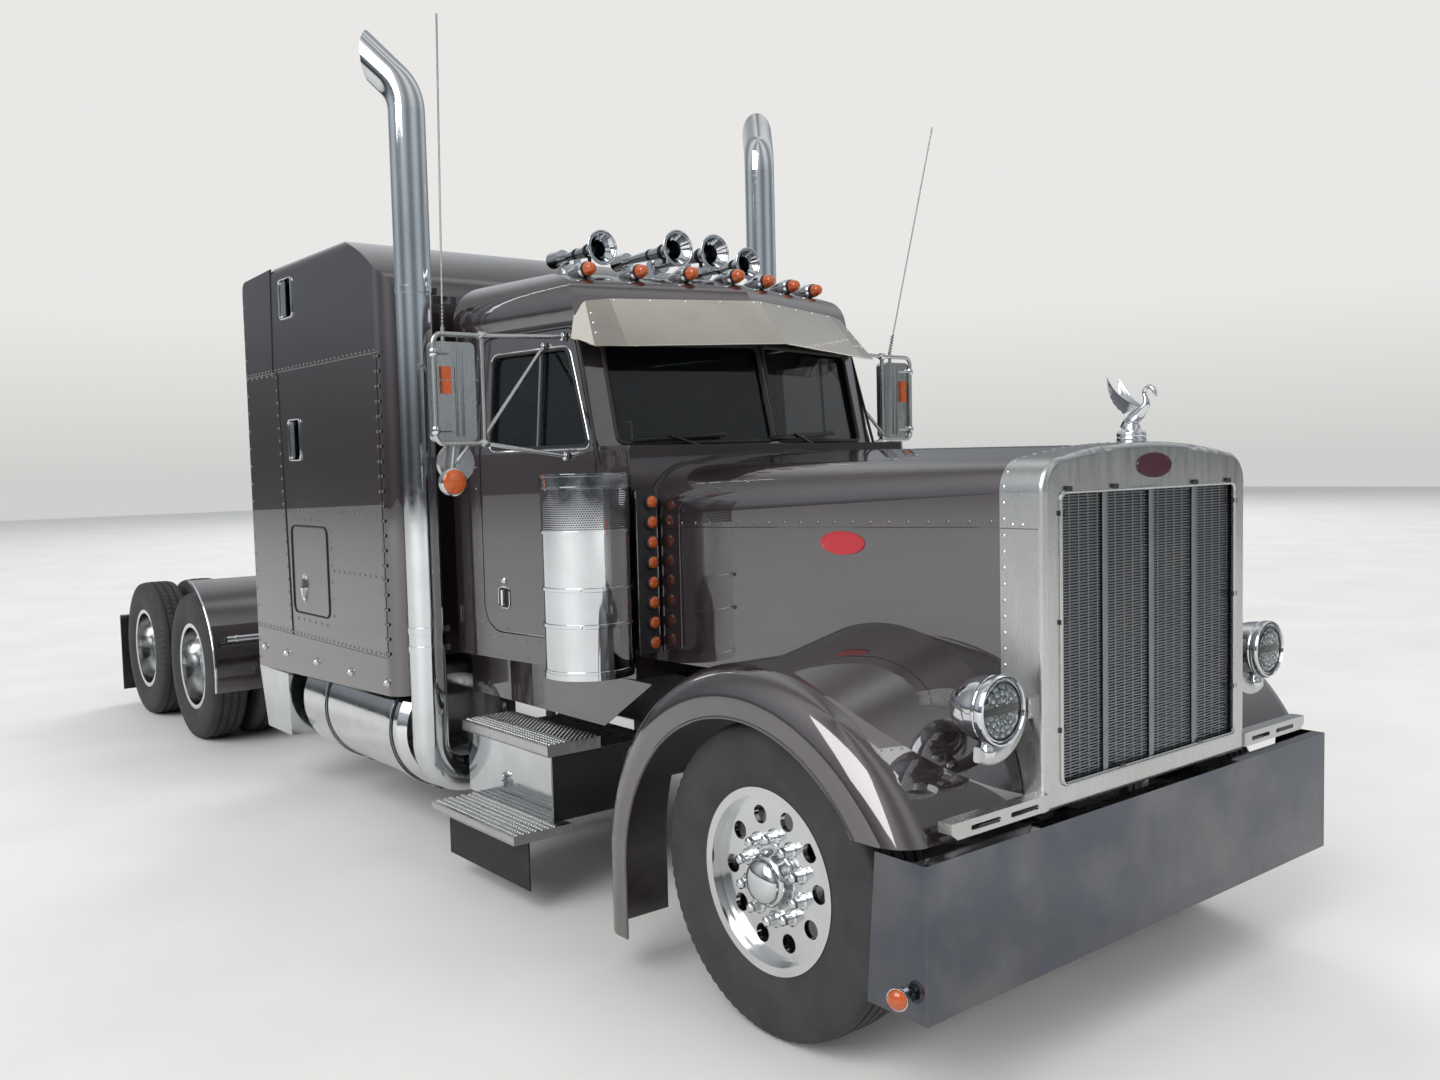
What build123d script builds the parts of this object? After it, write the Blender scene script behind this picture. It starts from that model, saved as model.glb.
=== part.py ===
from build123d import *
import math
import os

# Semi truck tractor unit, long-nose conventional cab with a separate sleeper box.
# Units are millimetres. X is forward, Y is to the truck's left, Z is up.
# The origin is on the ground under the middle of the truck's length and width.

os.makedirs("parts", exist_ok=True)

# Wheels and axles
FRONT_AXLE_X = 3950.0
DRIVE_AXLES_X = (-2550.0, -3870.0)
TYRE_R = 550.0
TYRE_W = 280.0
BEAD_R = 311.0
FLANGE_R = 324.0
RIM_W = 230.0
FRONT_WHEEL_Y = 1035.0
DUAL_OUTER_Y = 1080.0
DUAL_SPACING = 335.0
KINGPIN_Y = 880.0
KINGPIN_R = 24.0
SPINDLE_R = 44.0
HAND_HOLES = 10
HAND_HOLE_R = 33.0
HAND_HOLE_RING_R = 222.0
WHEEL_NUT_RING_R = 143.0
TIE_ROD_BACK = 235.0
TIE_ROD_BALL_Y = 820.0
RUNNING_GAP = 0.3

# Frame
FRAME_REAR_X = -4750.0
FRAME_FRONT_X = 4500.0
RAIL_Y = 430.0
RAIL_BOTTOM_Z = 730.0
RAIL_TOP_Z = 1000.0
RAIL_T = 9.0
RAIL_FLANGE = 80.0
CROSSMEMBERS_X = (-4600, -3210, -1900, -700, 500, 1500)
SPRING_Y = (371.0, 459.0)

# Bumper
BUMPER_FRONT_X = 4750.0
BUMPER_HALF_W = 1230.0
BUMPER_BOTTOM_Z = 340.0
BUMPER_TOP_Z = 814.0
BUMPER_PLATE = 6.0

# Grille shell and hood
SHELL_FRONT_X = 4722.0
SHELL_REAR_X = 4550.0
SHELL_HALF_W = 626.0
SHELL_BOTTOM_Z = 838.0
SHELL_TOP_Z = 2024.0
SHELL_CORNER_R = 115.0
SHELL_EDGE_R = 22.0
GRILLE_BARS_Y = (-278.0, 0.0, 278.0)
HOOD_REAR_X = 2785.0
HOOD_REAR_HALF_W = 748.0
HOOD_BOTTOM_Z = 1140.0
HOOD_SKIN = 6.0

# Fenders
FENDER_ARC_X = 3910.0
FENDER_ARC_Z = 440.0
FENDER_LIP_R = 680.0
FENDER_CROWN_R = 855.0
FENDER_ROUND = 120.0
FENDER_FACE_Y = 1240.0
FENDER_INNER_Y = 629.0
FENDER_LEG_Z = 158.0
FENDER_FRONT_Z = 830.0
FENDER_SKIN = 6.0

# Headlamps
LAMP_Y = 830.0
LAMP_Z = 1203.0
LAMP_RING_R = 112.0
LAMP_FRONT_X = 4720.0

# Cab
CAB_REAR_X = 1450.0
CAB_FRONT_X = 2775.0
CAB_REAR_HALF_W = 1005.0
CAB_FRONT_HALF_W = 845.0
CAB_FLOOR_Z = 1060.0
CAB_FLOOR_T = 60.0
CAB_BELT_Z = 2050.0
CAB_ROOF_Z = 2900.0
CAB_CROWN = 10.0
CAB_WALL = 45.0
CAB_REAR_ROUND = 80.0
COWL_Z = 2070.0
GLASS_T = 6.0
GLASS_DEPTH = 18.0
GLASS_FIT = 0.5

# Windshield plane on the centre line, its lean per unit of height and its sweep per unit of width
WINDSHIELD_X = 2770.0
WINDSHIELD_LEAN = 0.253
WINDSHIELD_SWEEP = 0.272

# Roof brow: a wide arc from the level roof to a small arc that meets the windshield
BROW_START_X = 2031.0
BROW_CENTRE = (2482.3, 2718.2)
BROW_R = 120.0

# Doors
DOOR_GAP = 6.0
DOOR_INNER_Y = 770.0
DOOR_OUTER_Y = 1100.0

# Sleeper
SLEEPER_FRONT_X = 1140.0
SLEEPER_REAR_X = -450.0
SLEEPER_HALF_W = 1209.0
SLEEPER_FLOOR_Z = 1004.0
SLEEPER_SIDE_TOP_Z = 3230.0
SLEEPER_CROWN_Z = 3250.0
SLEEPER_WALL = 45.0
SLEEPER_CORNER_R = 115.0
SLEEPER_BROW_X = 370.0
SLEEPER_BROW_CENTRE = (973.5, 2877.0)
SLEEPER_BROW_R = 167.0
EXTENDER_REAR_X = -975.0
LUGGAGE_X = (-285.0, 270.0)
LUGGAGE_Z = (1150.0, 1670.0)
SLOTS = ((-310.0, -110.0, 2900.0, 3130.0), (-250.0, -70.0, 2060.0, 2300.0))
PASSAGE_Y = 350.0
PASSAGE_Z = (1300.0, 2300.0)

# Exhaust, air cleaners and tanks
STACK_X = 1376.0
STACK_Y = 1144.0
STACK_R = 89.0
STACK_WALL = 4.0
STACK_LOW_Z = 420.0
STACK_BEND_Z = 3740.0
STACK_LEAN = math.radians(38)
CLEANER_X = 2728.0
CLEANER_Y = 1048.0
CLEANER_R = 190.0
TANK_R = 330.0
TANK_Y = 850.0
TANK_Z = 600.0
TANK_X = (-330.0, 1080.0)
TANK_STRAPS_X = (40.0, 940.0)

# Steps under the cab
STEP_BOX_X = (1540.0, 2340.0)
STEP_BOX_Y = 1018.0
STEP_BOX_Z = (375.0, 680.0)
LOW_STEP_X = (1600.0, 2400.0)
LOW_STEP_Y = 1258.0
LOW_STEP_Z = 333.0

# Fifth wheel
FIFTH_X = -3120.0
FIFTH_TOP_Z = 1230.0
FIFTH_PIVOT_Z = 1130.0
FIFTH_PLATE_T = 42.0
FIFTH_PIN_R = 25.0
KINGPIN_JAW_R = 26.0

SIDES = (("right", -1), ("left", 1))


def block(x, y, z):
    """Rectangular block between two X, two Y and two Z values."""
    size = [abs(a[1] - a[0]) for a in (x, y, z)]
    middle = [(a[0] + a[1]) / 2 for a in (x, y, z)]
    return Pos(*middle) * Box(*size)


def rod(start, end, radius):
    """Straight round bar between two points."""
    a, b = Vector(*start), Vector(*end)
    plane = Plane(origin=a, z_dir=(b - a).normalized())
    return extrude(plane * Circle(radius), amount=(b - a).length)


def pipe(points, bends, radius, hole=0):
    """Bent round bar or tube along straight runs joined by tangent arcs."""
    path = FilletPolyline(*points, radius=bends)
    start = Plane(origin=path @ 0, z_dir=path % 0)
    bar = sweep(start * Circle(radius), path=path)
    if hole:
        bar -= sweep(start * Circle(hole), path=path)
    return bar


def side_prism(points, y0, y1):
    """Side-view (X, Z) polygon carried from y0 to y1."""
    face = make_face(Polyline(*[(x, 0, z) for x, z in points], close=True))
    return Pos(0, min(y0, y1), 0) * extrude(face, amount=abs(y1 - y0), dir=(0, 1, 0))


def rounded_panel(points, radii, y0, y1):
    """Side-view (X, Z) polygon with a radius at each corner, carried from y0 to y1."""
    ring = FilletPolyline(*[(x, 0, z) for x, z in points], radius=radii, close=True)
    return Pos(0, min(y0, y1), 0) * extrude(make_face(ring), amount=abs(y1 - y0), dir=(0, 1, 0))


def turned_x(points, y, z):
    """Closed (x, r) profile turned round the forward line through (y, z)."""
    ring = Polyline(*[(x, 0, r) for x, r in points], close=True)
    return Pos(0, y, z) * revolve(make_face(ring), axis=Axis.X)


def turned_y(points, x, z):
    """Closed (y, r) profile turned round the sideways line through (x, z)."""
    ring = Polyline(*[(x + r, y, z) for y, r in points], close=True)
    return revolve(make_face(ring), axis=Axis((x, 0, z), (0, 1, 0)))


def turned_z(points, x, y):
    """Closed (r, z) profile turned round the upright line through (x, y)."""
    ring = Polyline(*[(r, 0, z) for r, z in points], close=True)
    return Pos(x, y, 0) * revolve(make_face(ring), axis=Axis.Z)


def on_plane(a, b, c, y, z):
    """Point with the given y and z on the plane through three points."""
    a, b, c = Vector(*a), Vector(*b), Vector(*c)
    n = (b - a).cross(c - a)
    return (a.X - (n.Y * (y - a.Y) + n.Z * (z - a.Z)) / n.X, y, z)


def plate(corners, thickness, along):
    """Flat plate over corner points that share a plane, thickened in the given direction."""
    face = make_face(Polyline(*corners, close=True))
    return extrude(face, amount=thickness, dir=Vector(*along).normalized())


def both_sides(shape):
    """The right-hand piece and its mirror image on the left."""
    return Part() + shape + mirror(shape, about=Plane.XZ)


def on_side(shape, sign):
    """A piece drawn for the right side, or its mirror image on the left."""
    return shape if sign < 0 else mirror(shape, about=Plane.XZ)


def save(name, shape):
    export_step(shape, f"parts/{name}.step")


# Frame rails, crossmembers, deck plate, tank cradles and exhaust hangers


def build_frame():
    frame = Part()
    inner = RAIL_Y - RAIL_T
    length = (FRAME_REAR_X, FRAME_FRONT_X)
    for sign in (-1, 1):
        flange_y = (sign * (RAIL_Y - RAIL_FLANGE), sign * RAIL_Y)
        frame += block(length, (sign * inner, sign * RAIL_Y), (RAIL_BOTTOM_Z, RAIL_TOP_Z))
        frame += block(length, flange_y, (RAIL_BOTTOM_Z, RAIL_BOTTOM_Z + RAIL_T))
        frame += block(length, flange_y, (RAIL_TOP_Z - RAIL_T, RAIL_TOP_Z))
    low, high, depth = RAIL_TOP_Z - 150, RAIL_TOP_Z - 30, 80
    for x in CROSSMEMBERS_X:
        frame += block((x - 4, x + 4), (-inner, inner), (low, high))
        for z in (low, high - 8):
            frame += block((x - 4, x + depth), (-inner, inner), (z, z + 8))
    frame += block((4410, 4470), (-inner, inner), (RAIL_BOTTOM_Z, RAIL_BOTTOM_Z + 60))
    frame += block((-1750, -480), (-RAIL_Y, RAIL_Y), (RAIL_TOP_Z, RAIL_TOP_Z + 8))
    hole_x = (TANK_X[0] - 50, TANK_X[1] + 50)
    tank_space = rod((hole_x[0], -TANK_Y, TANK_Z), (hole_x[1], -TANK_Y, TANK_Z), TANK_R + 7)
    arm_low, foot_low = RAIL_BOTTOM_Z - 380, RAIL_BOTTOM_Z - 485
    for x in TANK_STRAPS_X:
        arm = block((x - 35, x + 35), (-RAIL_Y, -RAIL_Y - 110), (arm_low, RAIL_TOP_Z - 10))
        foot = block((x - 35, x + 35), (-RAIL_Y, -TANK_Y - 60), (foot_low, arm_low))
        frame += both_sides(arm + foot - tank_space)
    hanger_z = (STACK_LOW_Z - 20, RAIL_BOTTOM_Z + 30)
    hanger = block((STACK_X - 35, STACK_X + 35), (-RAIL_Y - 20, -RAIL_Y), hanger_z)
    return frame + both_sides(hanger)


# Front bumper: tall plate with square ends that return along the sides


def build_bumper():
    half, skin = BUMPER_HALF_W, BUMPER_PLATE
    outer = block((4500, BUMPER_FRONT_X), (-half, half), (BUMPER_BOTTOM_Z, BUMPER_TOP_Z))
    outer = fillet(outer.edges().filter_by(Axis.Z).group_by(Axis.X)[-1], skin + 1)
    inside_y = (-half + skin, half - skin)
    hollow = block((4400, BUMPER_FRONT_X - skin), inside_y, (BUMPER_BOTTOM_Z - 10, BUMPER_TOP_Z - skin))
    open_top = block((4400, BUMPER_FRONT_X - 50), inside_y, (BUMPER_TOP_Z - 30, BUMPER_TOP_Z + 5))
    slant = side_prism([(4490, 330), (4507, 330), (4549, 820), (4490, 820)], -1300, 1300)
    bumper = outer - hollow - open_top - slant
    for sign in (-1, 1):
        tab_z = (RAIL_BOTTOM_Z + 5, RAIL_BOTTOM_Z + 65)
        bumper += block((FRAME_FRONT_X, BUMPER_FRONT_X - skin), (sign * 370, sign * 420), tab_z)
    return bumper


# Front axle beam and leaf springs


def build_front_axle():
    x = FRONT_AXLE_X
    under = [(-930, 455), (-810, 455), (-610, 365), (610, 365), (810, 455), (930, 455)]
    upper = [(930, 530), (790, 530), (600, 455), (-600, 455), (-790, 530), (-930, 530)]
    ring = Polyline(*[(x - 45, y, z) for y, z in under + upper], close=True)
    axle = extrude(make_face(ring), amount=90, dir=(1, 0, 0))
    for sign in (-1, 1):
        y = sign * KINGPIN_Y
        spring_y = (sign * SPRING_Y[0], sign * SPRING_Y[1])
        axle -= block((x - 100, x + 100), (y + sign * 38, y + sign * 100), (400, 600))
        axle += Pos(x, y, 492) * Cylinder(48, 76)
        axle -= Pos(x, y, 492) * Cylinder(KINGPIN_R + RUNNING_GAP, 100)
        upper_leaf = ThreePointArc((x - 680, 0, 690), (x, 0, 556), (x + 560, 0, 690))
        lower_leaf = ThreePointArc((x + 560, 0, 650), (x, 0, 480), (x - 680, 0, 650))
        ends = Line(upper_leaf @ 1, lower_leaf @ 0) + Line(lower_leaf @ 1, upper_leaf @ 0)
        leaves = extrude(make_face(upper_leaf + lower_leaf + ends), amount=88, dir=(0, 1, 0))
        axle += Pos(0, min(spring_y), 0) * leaves
        axle += block((x - 690, x - 640), spring_y, (660, RAIL_BOTTOM_Z))
        axle += block((x + 520, x + 560), spring_y, (660, RAIL_BOTTOM_Z))
        axle += block((x - 70, x + 70), spring_y, (440, 490))
    return axle


# Steering knuckles and tie rod


def build_knuckle():
    """Right-hand knuckle: yoke round the kingpin, spindle outwards, arm backwards."""
    x, y = FRONT_AXLE_X, -KINGPIN_Y
    ball = Pos(x - TIE_ROD_BACK, -TIE_ROD_BALL_Y, 417)
    knuckle = Pos(x, y, 495) * Cylinder(KINGPIN_R, 190)
    for z in (422, 566):
        knuckle += block((x - 45, x + 45), (y - 92, y + 45), (z - 20, z + 20))
    knuckle += block((x - 70, x + 70), (y - 92, y - 58), (402, 640))
    knuckle += rod((x, y - 92, TYRE_R), (x, y - 185, TYRE_R), SPINDLE_R)
    knuckle += block((x - 250, x - 30), (y + 10, y + 45), (402, 432))
    knuckle += ball * Cylinder(30, 30)
    return knuckle - ball * Cylinder(14, 60)


def build_tie_rod():
    x, y = FRONT_AXLE_X - TIE_ROD_BACK, TIE_ROD_BALL_Y
    bar = rod((x, -y - 20, 375), (x, y + 20, 375), 19)
    for sign in (-1, 1):
        bar += Pos(x, sign * y, 375) * Cylinder(28, 44)
    return bar + Pos(x, y, 410) * Cylinder(14 - RUNNING_GAP, 50)


# Wheels: tyres, rims and hubs


def build_tyre(x, y):
    """Tyre centred on the plane y, with flat tread and bulged walls."""
    half = TYRE_W / 2
    side = [
        (106, BEAD_R), (107, BEAD_R + 16), (half, BEAD_R + 100),
        (half - 2, TYRE_R - 90), (116, TYRE_R - 16), (60, TYRE_R),
    ]
    profile = [(y - offset, r) for offset, r in side]
    profile += [(y + offset, r) for offset, r in reversed(side)]
    return turned_y(profile, x, TYRE_R)


def build_rim(x, y, disc_y, hub_r):
    """Forged rim: barrel with turned-out flanges and a thick disc at disc_y with its hand holes.
    The barrel stays inside the bead radius so that the tyre sits on it."""
    w = RIM_W / 2
    flange = [(w, FLANGE_R - 1), (w - 6, FLANGE_R - 1), (w - 7, BEAD_R - 0.5)]
    barrel = [(y - offset, r) for offset, r in flange]
    barrel += [(y + offset, r) for offset, r in reversed(flange)]
    barrel += [(y + w - 2, BEAD_R - 18), (y - w + 2, BEAD_R - 18)]
    near, side = min(max(disc_y, y - w + 20), y + w - 20), 1 if disc_y > y else -1
    dish = [
        (near - side * 12, BEAD_R - 8), (near + side * 12, BEAD_R - 8), (disc_y + side * 10, 275),
        (disc_y + side * 10, hub_r - 2), (disc_y - side * 10, hub_r - 2), (disc_y - side * 10, 262),
    ]
    disc = turned_y(dish, x, TYRE_R)
    hole_x = x + HAND_HOLE_RING_R
    hole = rod((hole_x, disc_y - 40, TYRE_R), (hole_x, disc_y + 40, TYRE_R), HAND_HOLE_R)
    for i in range(HAND_HOLES):
        disc -= hole.rotate(Axis((x, 0, TYRE_R), (0, 1, 0)), 360 / HAND_HOLES * i)
    return turned_y(barrel, x, TYRE_R) + disc


def wheel_nuts(x, y, height, radius):
    """Ring of wheel nuts that stands out from the plane y, between the hand holes."""
    nuts = Part()
    nut = rod((x + WHEEL_NUT_RING_R, y, TYRE_R), (x + WHEEL_NUT_RING_R, y - height, TYRE_R), radius)
    for i in range(HAND_HOLES):
        nuts += nut.rotate(Axis((x, 0, TYRE_R), (0, 1, 0)), 360 / HAND_HOLES * (i + 0.5))
    return nuts


def build_front_wheel():
    """Right-hand steered wheel: the disc stands near the outer face, over a hub with a domed cover."""
    x, y = FRONT_AXLE_X, -FRONT_WHEEL_Y
    disc_y = y - 62
    rim = build_rim(x, y, disc_y, 110)
    hub = rod((x, -KINGPIN_Y - 100, TYRE_R), (x, disc_y - 12, TYRE_R), 120)
    cover = [(disc_y - 12, 0), (disc_y - 12, 104), (disc_y - 52, 88), (disc_y - 68, 60), (disc_y - 74, 0)]
    hub += turned_y(cover, x, TYRE_R) + wheel_nuts(x, disc_y, 42, 20)
    hub -= rod((x, -KINGPIN_Y - 80, TYRE_R), (x, -KINGPIN_Y - 195, TYRE_R), SPINDLE_R + RUNNING_GAP)
    return build_tyre(x, y), rim + hub


def build_rear_wheel(x):
    """Right-hand twin wheel: two rims back to back on one hub, the outer disc set deep inside."""
    outer_y, inner_y = -DUAL_OUTER_Y, -DUAL_OUTER_Y + DUAL_SPACING
    middle = (outer_y + inner_y) / 2
    rims = build_rim(x, outer_y, middle - 10, 110) + build_rim(x, inner_y, middle + 10, 110)
    hub = Part()
    barrel, end = middle - 100, middle - 190
    for y0, y1, radius in ((-560, barrel, 112), (barrel, end, 82), (end, end - 12, 96), (-570, -740, 205)):
        hub += rod((x, y0, TYRE_R), (x, y1, TYRE_R), radius)
    hub += wheel_nuts(x, middle, 60, 18)
    hub -= rod((x, -500, TYRE_R), (x, -760, TYRE_R), SPINDLE_R + RUNNING_GAP)
    tyres = Part() + build_tyre(x, outer_y) + build_tyre(x, inner_y)
    return tyres, rims + hub


# Drive axles, prop shafts and rear suspension


def build_drive_axles():
    axles = Part()
    for x in DRIVE_AXLES_X:
        bowl = [(-190, 0), (-190, 70), (-120, 170), (0, 205), (120, 170), (190, 70), (190, 0)]
        axles += rod((x, -550, TYRE_R), (x, 550, TYRE_R), 70) + turned_y(bowl, x, TYRE_R)
        axles += rod((x, -755, TYRE_R), (x, 755, TYRE_R), SPINDLE_R)
        axles += rod((x, 0, TYRE_R), (x + 330, 0, TYRE_R + 20), 75)
    front_x, rear_x = DRIVE_AXLES_X
    axles += rod((front_x + 320, 0, TYRE_R + 20), (1955, 0, 780), 52)
    axles += rod((rear_x + 320, 0, TYRE_R + 20), (front_x - 120, 0, TYRE_R + 20), 48)
    return axles


def build_rear_suspension():
    """Trailing arms under the axles, hangers from the rails and air springs behind each axle."""
    arms = Part()
    bellows = [(0, 420), (105, 420), (118, 470), (104, 520), (118, 600), (104, 660)]
    bellows += [(112, RAIL_BOTTOM_Z), (0, RAIL_BOTTOM_Z)]
    for x in DRIVE_AXLES_X:
        arm_line = [(x + 520, 500), (x + 520, 430), (x + 80, 400), (x - 470, 380)]
        arm_line += [(x - 470, 430), (x - 80, 479), (x + 80, 479)]
        hanger_line = [(x + 430, RAIL_BOTTOM_Z), (x + 570, RAIL_BOTTOM_Z), (x + 540, 430), (x + 470, 430)]
        for sign in (-1, 1):
            y = (sign * 350, sign * RAIL_Y)
            arms += side_prism(arm_line, *y) + side_prism(hanger_line, *y)
            arms += Pos(x - 380, sign * 390, 400) * Cylinder(105, 40)
            arms += turned_z(bellows, x - 380, sign * 390)
    return arms


# Engine, gearbox and radiator


def build_engine():
    return block((2860, 4180), (-310, 310), (640, 1760)) + block((1960, 2860), (-230, 230), (650, 1030))


def build_radiator():
    core = block((4390, 4470), (-500, 500), (1010, 1860))
    return core + block((4420, 4460), (-300, 300), (RAIL_BOTTOM_Z + 60, 1010))


# Hood, grille shell and grille


def hood_section(x, half_w, corner_r, bottom_z, shoulder_z, crown_z):
    """Front-view outline: straight sides, round shoulders and a slightly crowned top."""
    side_z = shoulder_z - corner_r
    c = corner_r * (1 - math.sqrt(0.5))
    up = Line((x, -half_w, bottom_z), (x, -half_w, side_z))
    left = ThreePointArc(up @ 1, (x, -half_w + c, shoulder_z - c), (x, -half_w + corner_r, shoulder_z))
    crown = ThreePointArc(left @ 1, (x, 0, crown_z), (x, half_w - corner_r, shoulder_z))
    right = ThreePointArc(crown @ 1, (x, half_w - c, shoulder_z - c), (x, half_w, side_z))
    down = Line(right @ 1, (x, half_w, bottom_z))
    return make_face(up + left + crown + right + down + Line(down @ 1, up @ 0))


def hood_form(inset, x_pad, bottom_z):
    """Solid form of the hood, drawn in by inset and carried past both ends by x_pad."""
    slope_w = (HOOD_REAR_HALF_W - SHELL_HALF_W + 2) / (SHELL_REAR_X - HOOD_REAR_X)
    front = hood_section(
        SHELL_REAR_X + x_pad, SHELL_HALF_W - 2 - inset - slope_w * x_pad, SHELL_CORNER_R - inset / 2,
        bottom_z, SHELL_TOP_Z - 45 - inset, SHELL_TOP_Z - 6 - inset,
    )
    rear = hood_section(
        HOOD_REAR_X - x_pad, HOOD_REAR_HALF_W - inset + slope_w * x_pad, 220 - inset / 2,
        bottom_z, 1985 - inset, 2032 - inset,
    )
    return loft([front, rear], ruled=True)


def build_hood():
    return hood_form(0, 0, HOOD_BOTTOM_Z) - hood_form(HOOD_SKIN, 5, HOOD_BOTTOM_Z - 20)


def shell_form(inset, x0, x1):
    face = hood_section(
        x0, SHELL_HALF_W - inset, SHELL_CORNER_R - inset / 2,
        SHELL_BOTTOM_Z + inset, SHELL_TOP_Z - 42 - inset, SHELL_TOP_Z - inset,
    )
    return extrude(face, amount=x1 - x0, dir=(1, 0, 0))


def build_cross_bar():
    """Right-hand bar below the lamp: upright web with two slots, narrow top flange and a tapered end."""
    x0, x1, z0, z1 = SHELL_FRONT_X - 46, SHELL_FRONT_X + 6, SHELL_BOTTOM_Z + 14, SHELL_BOTTOM_Z + 66
    outline = [(-SHELL_HALF_W + 8, z0), (-1062, z0), (-1090, z0 + 20), (-1090, z1), (-SHELL_HALF_W + 8, z1)]
    face = make_face(Polyline(*[(x0, y, z) for y, z in outline], close=True))
    bar = extrude(face, amount=x1 - x0, dir=(1, 0, 0))
    bar -= block((x0 - 1, x1 - 6), (-1084, -SHELL_HALF_W - 2), (z0 - 1, z1 - 5))
    for y in (-930, -740):
        slot = block((x1 - 10, x1 + 5), (y - 70, y + 70), (z0 + 16, z0 + 32))
        bar -= fillet(slot.edges().filter_by(Axis.X), 7.5)
    return bar


def build_grille_shell():
    shell = shell_form(0, SHELL_REAR_X, SHELL_FRONT_X)
    shell = fillet(shell.faces().sort_by(Axis.X)[-1].edges(), SHELL_EDGE_R)
    shell -= shell_form(8, SHELL_REAR_X - 5, SHELL_FRONT_X - 10)
    shell -= block((SHELL_FRONT_X - 20, SHELL_FRONT_X + 10), (-540, 540), (918, 1866))
    return shell + both_sides(build_cross_bar())


def build_grille():
    """Pressed mesh panel with three upright bars."""
    x0 = SHELL_FRONT_X - 22
    grille = block((x0, x0 + 4), (-560, 560), (900, 1885))
    for y in GRILLE_BARS_Y:
        grille += block((x0 + 4, x0 + 20), (y - 14, y + 14), (920, 1864))
    return grille


# Fenders


def fender_form(inset, leg_z):
    """Closed form of the right-hand fender, drawn in by inset.
    It is a drum over the tyre, a bulge towards the hood and a leg behind the wheel."""
    x, z, r = FENDER_ARC_X, FENDER_ARC_Z, FENDER_CROWN_R - inset
    y, turn = -FENDER_FACE_Y + inset, FENDER_ROUND - inset
    k = turn * (1 - math.sqrt(0.5))
    wall = Polyline((x, -FENDER_INNER_Y, z), (x, y, z), (x, y, z + r - turn))
    bend = ThreePointArc((x, y, z + r - turn), (x, y + k, z + r - k), (x, y + turn, z + r))
    top = Polyline((x, y + turn, z + r), (x, -FENDER_INNER_Y, z + r), (x, -FENDER_INNER_Y, z))
    drum = revolve(make_face(wall + bend + top), axis=Axis((x, 0, z), (0, 1, 0)))
    leg = block((x - r, x), (y, -FENDER_INNER_Y), (leg_z, z))
    leg = fillet(leg.edges().filter_by(Axis.Z).group_by(Axis.X)[0].sort_by(Axis.Y)[0], turn)
    slant = Vector(60, 491, 130)
    start = Plane(origin=(x + 90, -1120 + inset, z + 260), x_dir=(1, 0, 0), z_dir=(0, 1, 0))
    bulge = extrude(start * Circle(580 - inset), amount=slant.length, dir=slant.normalized())
    return drum + leg + bulge


def build_fender():
    """Right-hand fender: thin skin over the wheel, open below and inwards."""
    x, z = FENDER_ARC_X, FENDER_ARC_Z
    across, far = (-1300, -500), 1000
    skin = fender_form(0, FENDER_LEG_Z) - fender_form(FENDER_SKIN, FENDER_LEG_Z - 30)
    skin -= rod((x, -1300, z), (x, -1120, z), FENDER_LIP_R)
    skin -= block((x - FENDER_LIP_R, x + far), across, (-600, z))
    skin -= block((x - far, x + far), across, (-600, FENDER_LEG_Z))
    skin -= block((x, x + far), across, (0, FENDER_FRONT_Z))
    skin -= block((x - far, x), (-915, -500), (0, 720))
    skin -= block((x - far, x + far), (-FENDER_INNER_Y - 1, -400), (0, 1600))
    return skin - hood_form(0, 60, HOOD_BOTTOM_Z)


# Headlamps and hood ornament


def build_headlamp():
    """Right-hand round lamp on a crescent bracket that reaches out from the grille shell."""
    front, ring = LAMP_FRONT_X, LAMP_RING_R
    bowl = [
        (front, 0), (front, ring - 8), (front - 8, ring), (front - 30, ring), (front - 36, ring - 6),
        (front - 80, ring - 16), (front - 130, ring - 46), (front - 190, 0),
    ]
    lamp = turned_x(bowl, -LAMP_Y, LAMP_Z)
    x0, x1 = 4640, 4666
    crescent = rod((x0, -806, 1195), (x1, -806, 1195), 172)
    crescent -= rod((x0 - 5, -818, 1212), (x1 + 5, -818, 1212), 138)
    crescent -= block((x0 - 5, x1 + 5), (-1100, -500), (LAMP_Z - 3, 1500))
    crescent -= block((x0 - 5, x1 + 5), (-1100, -880), (900, 1500))
    pad = block((x0, x1), (-SHELL_HALF_W - 34, -SHELL_HALF_W), (1150, 1215))
    boss = rod((4653, -LAMP_Y, 1050), (4653, -LAMP_Y, LAMP_Z - ring + 22), 24)
    return lamp + crescent + pad + boss


def build_ornament():
    """Plain bird with raised wings and a curved neck on a two-step round base."""
    x, z = 4635, SHELL_TOP_Z
    base = [(0, z), (50, z), (50, z + 34), (44, z + 42), (30, z + 46), (26, z + 66), (0, z + 76)]
    ornament = turned_z(base, x, 0)
    body = turned_x([(-62, 0), (-40, 9), (0, 18), (34, 21), (52, 13), (58, 0)], 0, 0)
    ornament += Pos(x + 14, 0, z + 92) * Rot(0, -30, 0) * body
    neck = [(50, 108), (66, 132), (46, 162), (66, 186), (88, 168)]
    ornament += pipe([(x + dx, 0, z + dz) for dx, dz in neck], [14, 16, 14], 8)
    head = (x + 88, 0, z + 170)
    ornament += Pos(*head) * Sphere(10) + rod(head, (x + 98, 0, z + 150), 4)
    for sign in (-1, 1):
        root_front, root_back = (x + 44, sign * 6, z + 116), (x - 18, sign * 6, z + 96)
        ornament += plate([root_front, root_back, (x - 72, sign * 34, z + 229)], 4, (0, sign, 0))
    return ornament


# Cab


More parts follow.
